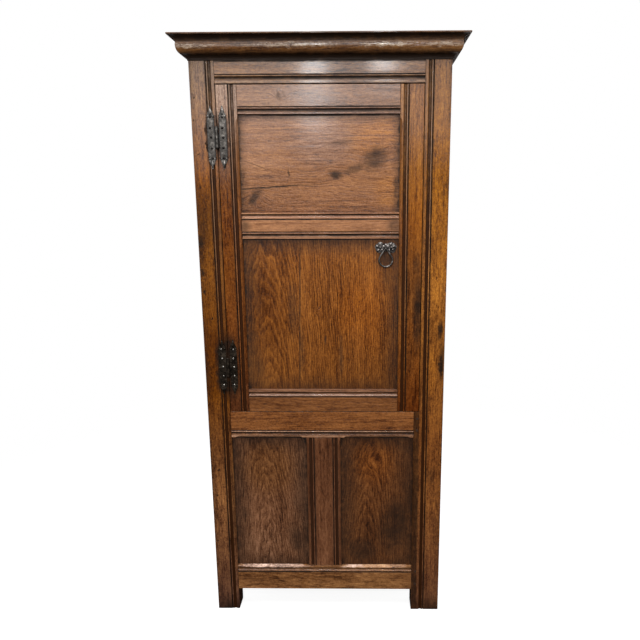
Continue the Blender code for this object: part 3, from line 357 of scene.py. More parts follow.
def oak(name, mid, grain="z", depth="y", rings=140.0, sway=3.0, late=0.0, heart=(), seam=(),
        knots=(), figure=0.5, fleck=0.45, fine=1.0, streak=0.35, patch=0.35, crackle=0.30,
        light=DUSTY, fade=(), pale=(), streaky=False, edges=(), wear=0.35, rubbed=WEAR_AND_HIGHLIGHT, bands=(),
        opening=(), marks=(), cracks=(), nicks=0.3, dirt=1.0, gloss=0.35, waxed=True, shine=0.32,
        coat=0.4, polish=0.11, dents=0.0004):
    """Return oak whose grain runs along one axis, with rings, fibres, pores, dirt and wear, and
    with painted shade, painted highlights and painted sheen in its colour.

    mid is the middle colour, and light tints its bright parts. The rings lie about a heart, given
    as its distance aside and behind the board and its lean both ways. A seam has a place, a lean,
    and the distance between the hearts of the boards it joins. figure, fleck, fine, streak, patch
    and crackle are the strengths of layers of grain.
    """
    chance = random.Random(name)
    paint = Paint(bpy.data.materials.new("oak_" + name))
    place = paint.place()
    at = paint.apart(place)
    across = next(axis for axis in "xyz" if axis not in (grain, depth))
    low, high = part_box(name)
    centre = {axis: (low[k] + high[k]) / 2 for k, axis in enumerate("xyz")}
    along, side, deep = at[grain], at[across], at[depth]
    run = paint.math("SUBTRACT", along, centre[grain])
    jolt = paint.vector("SUBTRACT", paint.noise(place, *JOLT, output="Color"), (0.5, 0.5, 0.5))
    loose = paint.vector("ADD", place, paint.vector("MULTIPLY", jolt, (JOLT_REACH,) * 3))
    start = tuple(chance.uniform(-5, 5) for _ in range(3))
    second = 0.0
    if seam:
        joint, lean, hearts_apart = seam
        beyond_seam = paint.math("SUBTRACT", side, paint.math("MULTIPLY_ADD", run, lean, joint))
        second = paint.math("GREATER_THAN", beyond_seam, 0.0)
    for knot, radii, lift in knots:
        side = paint.math("MULTIPLY_ADD", paint.spot(loose, knot, radii, 0.0), lift, side)
    fibres = paint.together(paint.math("MULTIPLY_ADD", second, NEXT_BOARD, along), side, deep)
    fibres = paint.vector("ADD", fibres, start)

    # Growth rings about a heart that lies behind the board and leans along it.
    aside, behind, lean_aside, lean_behind = heart or (
        chance.uniform(-0.05, 0.05), chance.uniform(0.04, 0.08), chance.uniform(-0.03, 0.03),
        chance.choice((-1, 1)) * chance.uniform(0.02, 0.05))
    bend = paint.math("SUBTRACT", paint.noise(fibres, *BEND), 0.5)
    off_side = paint.math("SUBTRACT", side, centre[across] + aside)
    off_side = paint.math("MULTIPLY_ADD", run, lean_aside, off_side)
    if seam:
        off_side = paint.math("MULTIPLY_ADD", second, hearts_apart, off_side)
    off_side = paint.math("MULTIPLY_ADD", bend, BEND_ASIDE, off_side)
    off_deep = paint.math("SUBTRACT", deep, centre[depth] + behind)
    off_deep = paint.math("MULTIPLY_ADD", run, lean_behind, off_deep)
    off_deep = paint.math("MULTIPLY_ADD", bend, BEND_DEEP, off_deep)
    radius = paint.vector("LENGTH", paint.together(off_side, off_deep, 0.0))
    year = paint.math("MULTIPLY", radius, rings)
    year = paint.math("MULTIPLY_ADD", paint.noise(fibres, *DRIFT), sway, year)
    ring = paint.together(year, paint.math("MULTIPLY", along, RING_ALONG), start[0])
    ring = paint.noise(ring, *RING)
    season = paint.math("FRACT", year)
    early = paint.most(paint.fall(season, *EARLY_ENDS), paint.step(season, *EARLY_BEGINS))
    rim = paint.math("MULTIPLY", paint.step(season, *RIM_BEGINS), paint.fall(season, *RIM_ENDS))

    # Long fibres, open pores, plane marks, and slow changes of colour.
    fibre = paint.noise(fibres, *FIBRE)
    pores = paint.step(paint.noise(fibres, *PORES), *PORES_BEGIN)
    lines = paint.step(paint.noise(fibres, *LINES), *LINES_BEGIN)
    streaks = paint.noise(fibres, *STREAKS)
    grit = paint.noise(place, *GRIT)
    patches = paint.noise(fibres, *PATCHES)
    broad = paint.noise(fibres, *BROAD)
    mottle = paint.noise(fibres, *MOTTLE)
    plane = paint.noise(fibres, *PLANE)
    value = paint.total(
        0.5, (ring, 0.5, 0.9 * figure), (early, 0.30, -0.26 * figure), (rim, 0.25, late),
        (fibre, 0.5, 1.2 * fine), (broad, 0.5, 1.2), (mottle, 0.5, 0.8 * fleck),
        (pores, 0.25, -0.20 * fine), (lines, 0.2, -0.24), (streaks, 0.5, streak),
        (patches, 0.5, patch), (grit, 0.5, 1.5 * crackle))
    bright = scaled(mid, *light)
    colour = paint.ramp(value, [
        (0.0, scaled(mid, *DEEPEST)), (0.26, scaled(mid, *DEEP)), (0.5, mid), (0.78, bright),
        (1.0, scaled(bright, *BRIGHTEST))])
    if fade:
        colour = paint.times(colour, paint.places(paint.apart(loose)["z"], fade))
    # Pale spots change the tone; some of them are painted highlights and painted sheen.
    for middle, radii, tint, strength, *angle in pale:
        worn = paint.spot(loose, middle, radii, PALE_CORE, *angle)
        worn = paint.math("MULTIPLY", worn, strength)
        if streaky:
            worn = paint.math("MULTIPLY", worn, paint.step(fibre, *STREAK_BEGINS))
        colour = paint.mix(worn, colour, paint.times(colour, tint))

    # Dirt and painted shade in the mouldings, round the panel, in bands and in corners, painted
    # highlights on the mouldings, and dirt in the joints, knots and bruises.
    colour, dirt_and_shade, warm = run_mouldings(paint, at, colour, edges, wear, rubbed)
    for axis, stops in bands:
        dirt_and_shade = paint.most(dirt_and_shade, paint.places(at[axis], stops))
    if opening:
        level = "x" if depth == "y" else "y"
        dirt_and_shade = paint.most(dirt_and_shade, panel_dirt_and_shadow(paint, at["z"], paint.apart(loose), level, opening))
    for middle, radii, strength, *angle in marks:
        dirt_and_shade = paint.most(dirt_and_shade, paint.spot(loose, middle, radii, MARK_CORE, *angle), strength)
    for line, width, strength in cracks:
        dirt_and_shade = paint.most(dirt_and_shade, crack(paint, place, along, at[across], line, width), strength)
    if seam:
        gap = paint.math("ABSOLUTE", beyond_seam)
        dirt_and_shade = paint.most(dirt_and_shade, paint.fall(gap, *SEAM_REACH), SEAM_DIRT)
    dirt_and_shade = paint.most(dirt_and_shade, paint.step(paint.noise(loose, *PITS), *PITS_BEGIN), nicks)
    # Painted shade and dirt where faces meet in corners.
    dirt_and_shade = paint.most(dirt_and_shade, paint.fall(paint.hidden(CORNER_REACH), *CORNER_OPENS), CORNER_DIRT_AND_SHADE)
    patchy = paint.step(paint.noise(place, *PATCHY), *PATCHY_RANGE)
    # dirt scales the dirt and the painted shade alike, which then darken the colour.
    dirt_and_shade = paint.math("MULTIPLY", paint.math("MULTIPLY", dirt_and_shade, patchy), dirt, clamp=True)
    colour = paint.mix(warm, paint.mix(dirt_and_shade, colour, DIRT_AND_SHADE), WARM_DIRT_AND_SHADE)

    height = paint.total(
        0.0, (fibre, 0.5, 0.8), (grit, 0.5, 1.6 * crackle), (early, 0.0, -0.3),
        (pores, 0.0, -0.5), (plane, 0.5, 2.6), (dirt_and_shade, 0.0, -0.6))
    roughness = paint.total(gloss, (fibre, 0.5, 0.35), (broad, 0.5, 0.30), (dirt_and_shade, 0.0, 0.24))
    shader = paint.node("BsdfPrincipled", {
        "Base Color": colour, "Roughness": roughness, "Normal": paint.bump(*GRAIN_BUMP, height),
        "Specular IOR Level": shine if waxed else RAW_SHINE})
    if waxed:
        shader.inputs["Coat Roughness"].default_value = polish
        paint.put(shader.inputs["Coat Weight"], paint.math("MULTIPLY_ADD", dirt_and_shade, -coat, coat))
        paint.put(shader.inputs["Coat Normal"], paint.bump(1.0, dents, plane))
    return paint.finish(shader)


# Noises in the iron, as in the oak, where rust and soot set in, and where the rims of the hinge
# leaves take a painted shade.
HAMMERED = (170.0, 2.0, 0.5)
BLOTCHED = (75.0, 4.0, 0.65)
PITTED = (900.0, 2.0, 0.5)
RUSTY = (95.0, 3.0, 0.5)
RUST = (0.045, 0.022, 0.012)
RUST_RANGE = (0.55, 0.75, 0.0, 0.5)
SOOT_AND_SHADE = (0.007, 0.006, 0.006)
SOOT_REACH = 0.005
SOOT_ENDS = (0.35, 0.9)
LEAF_RIM_BEGINS = (0.0065, 0.0110)
LEAF_RIM_ENDS = (0.0135, 0.0140)
LEAF_RIM_SHADE = 0.85
IRON_BUMP = (0.6, 0.0014)


def iron(name, tint, worn, rough=0.46, soot=0.92, leaves=()):
    """Return hammered wrought iron, black in the hollows and bright where it is rubbed.

    leaves are the columns of hinge leaves, whose rims take a painted black shade.
    """
    paint = Paint(bpy.data.materials.new("iron_" + name))
    place = paint.place()
    dents = paint.noise(place, *HAMMERED)
    blotch = paint.noise(place, *BLOTCHED)
    fine = paint.noise(place, *PITTED)
    colour = paint.ramp(blotch, [(0.30, scaled(tint, 0.3, 0.3, 0.3)), (0.52, tint), (0.74, worn)])
    rust = paint.step(paint.noise(place, *RUSTY), *RUST_RANGE)
    colour = paint.mix(rust, colour, RUST)
    black = paint.step(paint.hidden(SOOT_REACH), *SOOT_ENDS, soot, 0.0)
    # The rims of the hinge leaves take a painted black shade.
    for column in leaves:
        off = paint.math("SUBTRACT", paint.apart(place)["x"], column)
        off = paint.math("ABSOLUTE", off)
        rim = paint.fall(off, *LEAF_RIM_ENDS)
        rim = paint.math("MULTIPLY", paint.step(off, *LEAF_RIM_BEGINS), rim)
        black = paint.most(black, rim, LEAF_RIM_SHADE)
    colour = paint.mix(black, colour, SOOT_AND_SHADE)
    height = paint.total(0.0, (dents, 0.5, 1.0), (fine, 0.5, 0.25))
    roughness = paint.total(rough, (blotch, 0.5, 0.5))
    metal = paint.total(0.9, (paint.math("ADD", rust, black, clamp=True), 0.0, -0.8))
    return paint.finish(paint.node("BsdfPrincipled", {
        "Base Color": colour, "Metallic": metal, "Roughness": roughness,
        "Normal": paint.bump(*IRON_BUMP, height)}))


WELD_GAP = 0.00002
SMOOTH_BELOW = math.radians(34)
FLAT_BELOW = math.radians(0.5)
ROUND_ABOVE = math.radians(35)
SHARP_ABOVE = math.radians(38)
BOARD_ROUND = 0.0007
HINGE_ROUND = 0.0004
HANDLE_ROUND = 0.0003


def softening():
    """Return a modifier tree that welds a solid's faces and shades it smooth up to an angle."""
    tree = bpy.data.node_groups.new("weld_and_smooth", "GeometryNodeTree")
    tree.interface.new_socket("Geometry", in_out="INPUT", socket_type="NodeSocketGeometry")
    tree.interface.new_socket("Geometry", in_out="OUTPUT", socket_type="NodeSocketGeometry")
    source = tree.nodes.new("NodeGroupInput")
    clear = tree.nodes.new("GeometryNodeRemoveAttribute")
    clear.inputs["Name"].default_value = "custom_normal"
    weld = tree.nodes.new("GeometryNodeMergeByDistance")
    weld.inputs["Distance"].default_value = WELD_GAP
    angle = tree.nodes.new("GeometryNodeInputMeshEdgeAngle")
    blunt = tree.nodes.new("FunctionNodeCompare")
    blunt.operation = "LESS_THAN"
    blunt.inputs[1].default_value = SMOOTH_BELOW
    faces = tree.nodes.new("GeometryNodeSetShadeSmooth")
    faces.domain = "FACE"
    edges = tree.nodes.new("GeometryNodeSetShadeSmooth")
    edges.domain = "EDGE"
    sink = tree.nodes.new("NodeGroupOutput")
    link = tree.links.new
    link(source.outputs[0], clear.inputs["Geometry"])
    link(clear.outputs[0], weld.inputs["Geometry"])
    link(weld.outputs[0], faces.inputs["Geometry"])
    link(faces.outputs[0], edges.inputs["Geometry"])
    link(angle.outputs["Unsigned Angle"], blunt.inputs[0])
    link(blunt.outputs[0], edges.inputs["Shade Smooth"])
    link(edges.outputs[0], sink.inputs[0])
    return tree


SOFTENING = softening()


def dress(node, material, width=BOARD_ROUND, rejoin=False):
    """Give a solid its finish, welded faces and small rounded edges, rejoined if they sliver."""
    thing = NODES[node]
    for slot in thing.material_slots:
        slot.material = material
    thing.modifiers.new("weld", "NODES").node_group = SOFTENING
    plain = thing.modifiers.new("planar", "DECIMATE")
    plain.decimate_type = "DISSOLVE"
    plain.angle_limit = FLAT_BELOW
    rounding = thing.modifiers.new("round", "BEVEL")
    rounding.width = width
    rounding.segments = 2
    rounding.limit_method = "ANGLE"
    rounding.angle_limit = ROUND_ABOVE
    rounding.harden_normals = True
    if rejoin:
        thing.modifiers.new("join", "WELD").merge_threshold = WELD_GAP


def front(x, z, recess=0.0):
    """Return a place on the front of the frame, or behind it."""
    return (x, FRONT + recess, z)


def inset(x, z):
    """Return a place on the front of a panel."""
    return front(x, z, PANEL_FACE - FRONT)


# Stains and painted shade that several boards share. A band has an axis and the darkness at places
# along it. A mark has its middle, half its width and height, its strength and, if it leans, an
# angle in degrees.
FOOT_WARD = [(0.0, (0.50, 0.48, 0.75)), (0.30, (1.0, 1.0, 1.15))]
# Painted shade, with dirt, in the coves of the cornice, lighter at its top fillet.
CORNICE_SHADE_BANDS = [("z", [(1.7855, 0.95), (1.7970, 0.97), (1.8040, 0.40), (1.8100, 0.05),
                        (1.8270, 0.0), (1.8335, 0.62), (1.8445, 1.0), (1.8462, 0.55),
                        (1.8500, 0.2)])]
FOOT_BAND = [("z", [(0.0, 0.95), (0.018, 0.60), (0.07, 0.0)])]
LEFT_EDGE = [("x", [(-SIDE_FACE, 0.35), (-0.372, 0.22), (-0.362, 0.0)])]
RIGHT_EDGE = [("x", [(0.362, 0.0), (0.373, 0.12), (SIDE_FACE, 0.25)])]
LOWER_HINGE = HINGE_LEVELS["lower"]
UPPER_HINGE = HINGE_LEVELS["upper"]
# Round the hinges: dirt round the lower one with a painted shade to its left, and painted shade beside
# the upper leaves, at the upper knuckle and in the notches by the upper ears.
HINGE_DIRT_AND_SHADE = [(front(KNUCKLE, LOWER_HINGE + up), (0.050, 0.080), 1.0) for up in (-0.05, 0.0, 0.05)]
HINGE_DIRT_AND_SHADE += [(front(-0.333, LOWER_HINGE + up), (0.017, 0.055), 0.95)
               for up in (-0.045, -0.015, 0.015, 0.045)]
HINGE_DIRT_AND_SHADE += [(front(-0.3362, UPPER_HINGE), (0.0065, 0.105), 1.0),
               (front(KNUCKLE, UPPER_HINGE), (0.014, 0.105), 1.0),
               (front(-0.2760, UPPER_HINGE), (0.0060, 0.105), 0.85)]
HINGE_DIRT_AND_SHADE += [(front(x, UPPER_HINGE + up), (0.0045, 0.0045), 1.0)
               for x in (-0.3345, -0.3125, -0.2995, -0.2775) for up in (-0.0555, 0.0555)]
HOLES = [(-0.3629, 1.5268), (-0.3654, 1.4314), (-0.3560, 1.3279), (-0.3675, 1.2859),
         (-0.3711, 1.1666), (-0.3694, 1.1135), (-0.3505, 1.0280), (-0.3695, 1.6827),
         (-0.3769, 1.6216), (-0.3542, 0.5187), (-0.3640, 0.4300), (-0.3700, 0.2600)]
HOLE_RADII = (0.0042, 0.0055)

# Looks that several boards share.
STILE = dict(figure=0.3, shine=0.16)
FRAME_STILE = dict(STILE, crackle=0.75, light=HONEY)
DOOR_STILE = dict(STILE, crackle=0.7, nicks=0.4, streak=0.6)
LOWER_PANEL = dict(rings=165.0, sway=2.2, late=0.18, figure=0.6, fleck=0.6, fine=1.15, crackle=0.65)
SIDE_PANEL = dict(depth="x", figure=0.9, fleck=0.75, fine=1.3)
RAW = dict(waxed=False, gloss=0.62)

# Each board has its own tone, mouldings and marks. An edge has an axis, a place, the direction into
# the board and the width of its fillet. A fade has tints at heights; on the left front stile and
# the door stiles it ends in a painted sheen at the top. A pale spot is a mark with a tint before its
# strength; some pale spots are painted highlights and painted sheen. A knot has its middle, half
# its width and height, and how far it pushes the grain. An opening has the places of its four sides
# and the reach of the dirt and painted shade. A crack has where it begins and ends, its offset and
# slope, then a width and a strength.
boards = {
    "front_stile_left": dict(
        FRAME_STILE, mid=(0.183, 0.071, 0.0200), edges=[("x", HINGE_JAMB, -1, FILLET)],
        fine=1.3, nicks=0.8, coat=0.3, patch=0.8, streak=0.8, bands=FOOT_BAND + LEFT_EDGE,
        # The top of this fade is a painted sheen.
        fade=[(0.0, (0.47, 0.46, 1.10)), (0.40, (1.53, 1.52, 1.83)), (0.78, (0.75, 0.52, 0.08)),
              (0.95, (0.53, 0.34, 0.06)), (1.17, (0.98, 0.78, 0.30)), (1.35, (0.57, 0.42, 0.06)),
              (1.46, (1.06, 0.76, 0.08)), (1.76, (1.04, 1.40, 2.90))],
        marks=[(front(x, z), HOLE_RADII, 0.95) for x, z in HOLES] + HINGE_DIRT_AND_SHADE
        + [(front(-0.364, 1.30), (0.022, 0.060), 0.45), (front(-0.374, 1.22), (0.012, 0.10), 0.5),
           (front(-0.373, 1.268), (0.016, 0.038), 0.95), (front(-0.373, 1.176), (0.014, 0.020), 0.95),
           (front(-0.370, 1.114), (0.008, 0.012), 0.95), (front(-0.374, 0.85), (0.012, 0.11), 0.5),
           # Painted shade along the inner fillet beside the lower panel.
           (front(-0.311, 0.40), (0.011, 0.26), 0.55)]),
    "front_stile_right": dict(
        FRAME_STILE, mid=(0.290, 0.094, 0.0108), edges=[("x", LOCK_JAMB, 1, FILLET)],
        fine=1.2, nicks=0.6, patch=0.6, streak=0.7, bands=FOOT_BAND + RIGHT_EDGE,
        pale=[(front(0.340, 0.86), (0.022, 0.11), (1.35, 1.35, 1.10), 0.9)],
        fade=[(0.05, (0.46, 0.50, 1.90)), (0.42, (0.76, 0.77, 1.62)), (0.62, (0.74, 0.71, 1.25)),
              (0.86, (0.80, 0.80, 1.15)), (1.10, (1.24, 1.32, 1.70)), (1.45, (0.87, 0.85, 0.42)),
              (1.73, (0.70, 0.80, 1.50))],
        marks=[(front(0.365, 0.99), (0.012, 0.045), 0.90), (front(0.371, 0.885), (0.014, 0.090), 0.95),
               (front(0.374, 0.900), (0.010, 0.060), 0.90), (front(0.378, 1.40), (0.006, 0.20), 0.5),
               (front(0.345, 0.50), (0.02, 0.05), 0.35)]),
    "frieze_rail": dict(
        mid=(0.200, 0.075, 0.0160), grain="x", edges=[("z", FRIEZE_BASE, 1, FILLET)],
        wear=0.2, polish=0.12, coat=0.48, crackle=0.5,
        # A painted shadow under the cornice.
        bands=[("z", [(1.7805, 0.0), (1.7825, 0.9), (1.7855, 0.97)])]),
    "middle_rail": dict(
        mid=(0.240, 0.078, 0.0172), grain="x", edges=[("z", MIDDLE_RAIL_BASE, 1, FILLET)],
        wear=0.6, fine=0.7, crackle=0.7, patch=0.5),
    "bottom_rail": dict(
        mid=(0.275, 0.109, 0.0320), grain="x", edges=[("z", BOTTOM_RAIL_TOP, -1, FILLET)],
        figure=0.6, crackle=0.6, patch=0.8, wear=0.04,
        # Painted highlights on the stopped chamfers.
        pale=[(front(-0.190, 0.1655), (0.160, 0.009), (3.0, 4.8, 11.0), 1.0),
              (front(0.168, 0.1655), (0.150, 0.009), (2.3, 3.0, 4.6), 0.40),
              (front(0.082, 0.1655), (0.050, 0.009), (2.0, 2.8, 5.0), 0.70)]),
    "muntin": dict(
        mid=(0.153, 0.0525, 0.0187), figure=0.3,
        edges=[("x", MUNTIN_LEFT, 1, FILLET), ("x", MUNTIN_RIGHT, -1, FILLET)]),
    "lower_panel_left": dict(
        LOWER_PANEL, mid=(0.187, 0.072, 0.0290), heart=(-0.016, 0.055, 0.02, -0.13),
        opening=(HINGE_JAMB, MUNTIN_LEFT, BOTTOM_RAIL_TOP, MIDDLE_RAIL_BASE, 0.075),
        # The first pale spot is a painted sheen.
        pale=[(inset(-0.20, 0.24), (0.10, 0.09), (1.22, 1.34, 1.5), 0.8),
              (inset(-0.19, 0.53), (0.13, 0.15), (0.93, 0.86, 0.60), 1.0)],
        marks=[(inset(-0.100, 0.26), (0.045, 0.10), 0.6, 10.0),
               (inset(-0.29, 0.36), (0.045, 0.06), 0.6), (inset(-0.10, 0.40), (0.02, 0.08), 0.4)]),
    "lower_panel_right": dict(
        LOWER_PANEL, mid=(0.150, 0.047, 0.0108), heart=(-0.03, 0.060, -0.05, -0.12),
        opening=(MUNTIN_RIGHT, LOWER_JAMB, BOTTOM_RAIL_TOP, MIDDLE_RAIL_BASE, 0.085),
        knots=[(inset(0.145, 0.551), (0.04, 0.07), 0.020)],
        pale=[(inset(0.16, 0.55), (0.09, 0.12), (1.45, 1.32, 0.85), 0.9)],
        marks=[(inset(0.232, 0.310), (0.090, 0.180), 0.72, -12.0),
               (inset(0.205, 0.270), (0.040, 0.060), 0.5, 20.0),
               (inset(0.11, 0.22), (0.10, 0.08), 0.70), (inset(0.16, 0.27), (0.14, 0.13), 0.22)]),
    "door_hinge_stile": dict(
        DOOR_STILE, mid=(0.180, 0.049, 0.0062), edges=[("x", DOOR_LEFT, -1, FILLET)],
        rubbed=(2.0, 2.0, 1.8), marks=HINGE_DIRT_AND_SHADE,
        # The top of this fade is a painted sheen.
        fade=[(0.74, (0.66, 0.70, 1.45)), (1.05, (0.98, 0.96, 0.90)), (1.35, (1.20, 1.20, 0.70)),
              (1.52, (0.98, 1.18, 1.80)), (1.72, (1.96, 4.1, 20.0))]),
    "door_lock_stile": dict(
        DOOR_STILE, mid=(0.231, 0.070, 0.0080), edges=[("x", DOOR_RIGHT, 1, FILLET)],
        # The top of this fade is a painted sheen.
        fade=[(0.74, (0.66, 0.49, 0.29)), (0.95, (1.27, 1.27, 1.55)), (1.12, (0.74, 0.76, 1.15)),
              (1.33, (1.04, 0.95, 0.49)), (1.50, (1.07, 1.13, 1.05)), (1.70, (1.20, 1.45, 2.70))],
        marks=[(front(0.294, 1.04), (0.022, 0.170), 0.85), (front(0.288, 1.20), (0.014, 0.05), 0.5),
               (front(0.268, 0.90), (0.02, 0.10), 0.2)]),
    "door_top_rail": dict(
        mid=(0.242, 0.095, 0.0300), grain="x", edges=[("z", DOOR_TOP_RAIL_BASE, 1, NARROW_FILLET)],
        figure=0.4, wear=0.15, polish=0.18, coat=0.5, fine=0.75, crackle=0.5,
        knots=[(front(-0.1175, 1.6911), (0.035, 0.022), 0.020)],
        marks=[(front(-0.1230, 1.689), (0.008, 0.020), 0.40, 25.0),
               (front(-0.108, 1.697), (0.006, 0.014), 0.3, 15.0)]),
    "door_middle_rail": dict(
        mid=(0.332, 0.133, 0.0500), grain="x", figure=0.3, fine=0.5, patch=0.2, streak=0.2, wear=0.04,
        edges=[("z", DOOR_MIDDLE_RAIL_BASE, 1, NARROW_FILLET),
               ("z", DOOR_MIDDLE_RAIL_TOP, -1, NARROW_FILLET)],
        marks=[(front(0.222, 1.316), (0.040, 0.035), 0.62),
               (front(-0.240, 1.312), (0.030, 0.035), 0.6)]),
    "door_bottom_rail": dict(
        mid=(0.200, 0.067, 0.0164), grain="x", edges=[("z", DOOR_BOTTOM_RAIL_TOP, -1, FILLET)],
        wear=0.55, figure=0.6),
    "door_upper_panel": dict(
        mid=(0.256, 0.094, 0.0280), grain="x", heart=(0.02, 0.050, 0.05, 0.07), fleck=0.6, fine=0.7,
        polish=0.15, streak=0.2, patch=0.2, crackle=0.55,
        opening=(DOOR_LEFT, DOOR_RIGHT, DOOR_MIDDLE_RAIL_TOP, DOOR_TOP_RAIL_BASE, 0.028),
        # The first pale spot is a painted sheen.
        pale=[(inset(0.0, 1.56), (0.13, 0.09), (1.0, 1.18, 1.9), 0.9),
              (inset(0.0, 1.385), (0.26, 0.05), (1.18, 1.24, 1.42), 0.9),
              (inset(0.165, 1.575), (0.12, 0.07), (1.30, 1.20, 0.66), 0.9, 20.0),
              (inset(0.195, 1.42), (0.05, 0.06), GOLD, 0.8)],
        knots=[(inset(0.043, 1.464), (0.075, 0.045), -0.011),
               (inset(0.159, 1.508), (0.090, 0.060), 0.012),
               (inset(-0.203, 1.402), (0.060, 0.040), -0.018)],
        marks=[(inset(0.0424, 1.4645), (0.028, 0.020), 0.85, -10.0),
               (inset(0.095, 1.482), (0.055, 0.018), 0.62, 18.0),
               (inset(0.158, 1.512), (0.060, 0.042), 0.72, 38.0),
               (inset(0.055, 1.560), (0.050, 0.010), 0.40, 8.0),
               (inset(-0.2029, 1.4018), (0.020, 0.044), 0.75, -35.0),
               (inset(-0.1013, 1.4718), (0.005, 0.018), 0.85),
               (inset(0.222, 1.430), (0.012, 0.055), 0.70),
               (inset(-0.236, 1.46), (0.008, 0.03), 0.6)],
        cracks=[((-0.2443, 0.0400, 1.4245, 0.062), 0.0036, 0.95),
                ((-0.232, -0.120, 1.507, -0.36), 0.0026, 0.55)]),
    "door_lower_panel": dict(
        mid=(0.268, 0.081, 0.0100), rings=150.0, sway=2.0, late=0.20, figure=0.62, fleck=0.5,
        crackle=0.6, heart=(-0.170, 0.060, 0.03, -0.13), seam=(-0.0755, 0.0226, 0.33),
        opening=(DOOR_LEFT, DOOR_RIGHT, DOOR_BOTTOM_RAIL_TOP, DOOR_MIDDLE_RAIL_BASE, 0.070),
        fade=[(0.80, (0.69, 0.67, 0.66)), (1.02, (1.0, 1.0, 1.0)), (1.22, (0.98, 0.98, 1.0)),
              (1.277, (0.86, 0.88, 1.1))],
        knots=[(inset(-0.018, 1.0485), (0.014, 0.022), 0.012)],
        pale=[(inset(-0.185, 1.02), (0.10, 0.24), (0.73, 0.69, 0.62), 1.0),
              (inset(0.13, 1.05), (0.12, 0.20), (1.13, 1.07, 0.90), 0.9),
              (inset(-0.212, 1.02), (0.005, 0.16), GOLD, 1.0, 8.0),
              (inset(0.10, 1.06), (0.10, 0.10), GOLD, 0.4)],
        marks=[(inset(-0.096, 1.05), (0.026, 0.12), 0.42), (inset(0.0023, 0.958), (0.0045, 0.020), 0.75),
               # The marks at (0.194, 1.216) and (0.200, 1.155) are hand dirt round the handle and a
               # painted shadow under its drop.
               (inset(0.0525, 0.905), (0.010, 0.110), 0.50), (inset(0.194, 1.216), (0.046, 0.052), 0.80),
               (inset(0.200, 1.155), (0.030, 0.060), 0.50), (inset(-0.072, 0.930), (0.012, 0.120), 0.40),
               (inset(-0.225, 0.87), (0.05, 0.10), 0.5)]),
    "cornice_front": dict(
        mid=(0.165, 0.064, 0.016), grain="x", depth="z", gloss=0.30, polish=0.10, dents=0.0009,
        shine=0.22, streaky=True, crackle=0.6, dirt=1.25, bands=CORNICE_SHADE_BANDS,
        # The pale streaks are painted highlights along the swell of the cornice.
        pale=[(front(x, z, -0.027), (reach, 0.0085), (2.9, 5.3, 14.5), strength)
              for x, z, reach, strength in (
                  (-0.365, 1.8190, 0.095, 0.95), (-0.070, 1.8210, 0.190, 0.90),
                  (0.190, 1.8215, 0.120, 1.0), (0.345, 1.8200, 0.085, 0.60))]),
    "door_stop": dict(RAW, mid=(0.180, 0.104, 0.056)),
}
SIDE_MOULDINGS = {
    "top": [("z", SIDE_RAIL_BASE, 1, FILLET)],
    "middle": [("z", MIDDLE_RAIL_BASE, 1, FILLET), ("z", MIDDLE_RAIL_TOP, -1, FILLET)],
    "bottom": [("z", BOTTOM_RAIL_TOP, -1, FILLET)],
}
SIDE_OPENING = (SIDE_PANEL_FRONT, SIDE_PANEL_BACK)
for side in ("left", "right"):
    boards["back_stile_" + side] = dict(
        mid=(0.165, 0.064, 0.022), fade=FOOT_WARD, waxed=False, gloss=0.45)
    for level, edges in SIDE_MOULDINGS.items():
        boards[f"side_{level}_rail_{side}"] = dict(
            mid=(0.185, 0.070, 0.022), grain="y", depth="x", edges=edges)
    boards["side_upper_panel_" + side] = dict(
        SIDE_PANEL, mid=(0.190, 0.070, 0.020),
        opening=(*SIDE_OPENING, MIDDLE_RAIL_TOP, SIDE_RAIL_BASE, 0.06))
    boards["side_lower_panel_" + side] = dict(
        SIDE_PANEL, mid=(0.150, 0.058, 0.021),
        opening=(*SIDE_OPENING, BOTTOM_RAIL_TOP, MIDDLE_RAIL_BASE, 0.07))
    for bearer in ("shelf_lower_bearer_", "shelf_upper_bearer_", "bottom_bearer_"):
        boards[bearer + side] = dict(RAW, mid=(0.180, 0.104, 0.056), grain="y", depth="x")
    boards["cornice_" + side] = dict(
        mid=(0.100, 0.040, 0.012), grain="y", depth="z", waxed=False, gloss=0.5, bands=CORNICE_SHADE_BANDS)

# The boards of the back differ in tone, and their laps are dirty.
BACK_BOARDS = 5
BACK_TONE = (0.175, 0.100, 0.054)
TONE_RANGE = 0.16
TONE_TURN = 2.3
LAP = 0.004
LAP_DIRT = 0.85
for number in range(1, BACK_BOARDS + 1):
    name = f"back_board_{number}"
    (first, *_), (last, *_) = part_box(name)
    laps = [(first, LAP_DIRT), (first + LAP, 0.0), (last - LAP, 0.0), (last, LAP_DIRT)]
    tone = 1.0 + TONE_RANGE * math.sin(TONE_TURN * number)
    boards[name] = dict(
        mid=scaled(BACK_TONE, tone, tone, tone), waxed=False, gloss=0.65, figure=0.8,
        bands=[("x", laps)])
for name in ("back_top_rail", "back_bottom_rail"):
    boards[name] = dict(RAW, mid=(0.170, 0.098, 0.054), grain="x")
for name in ("bottom_board", "shelf_lower", "shelf_upper", "top_board"):
    boards[name] = dict(RAW, mid=(0.185, 0.108, 0.060), grain="x", depth="z", figure=0.8)
for name, look in boards.items():
    dress(name, oak(name, **look))

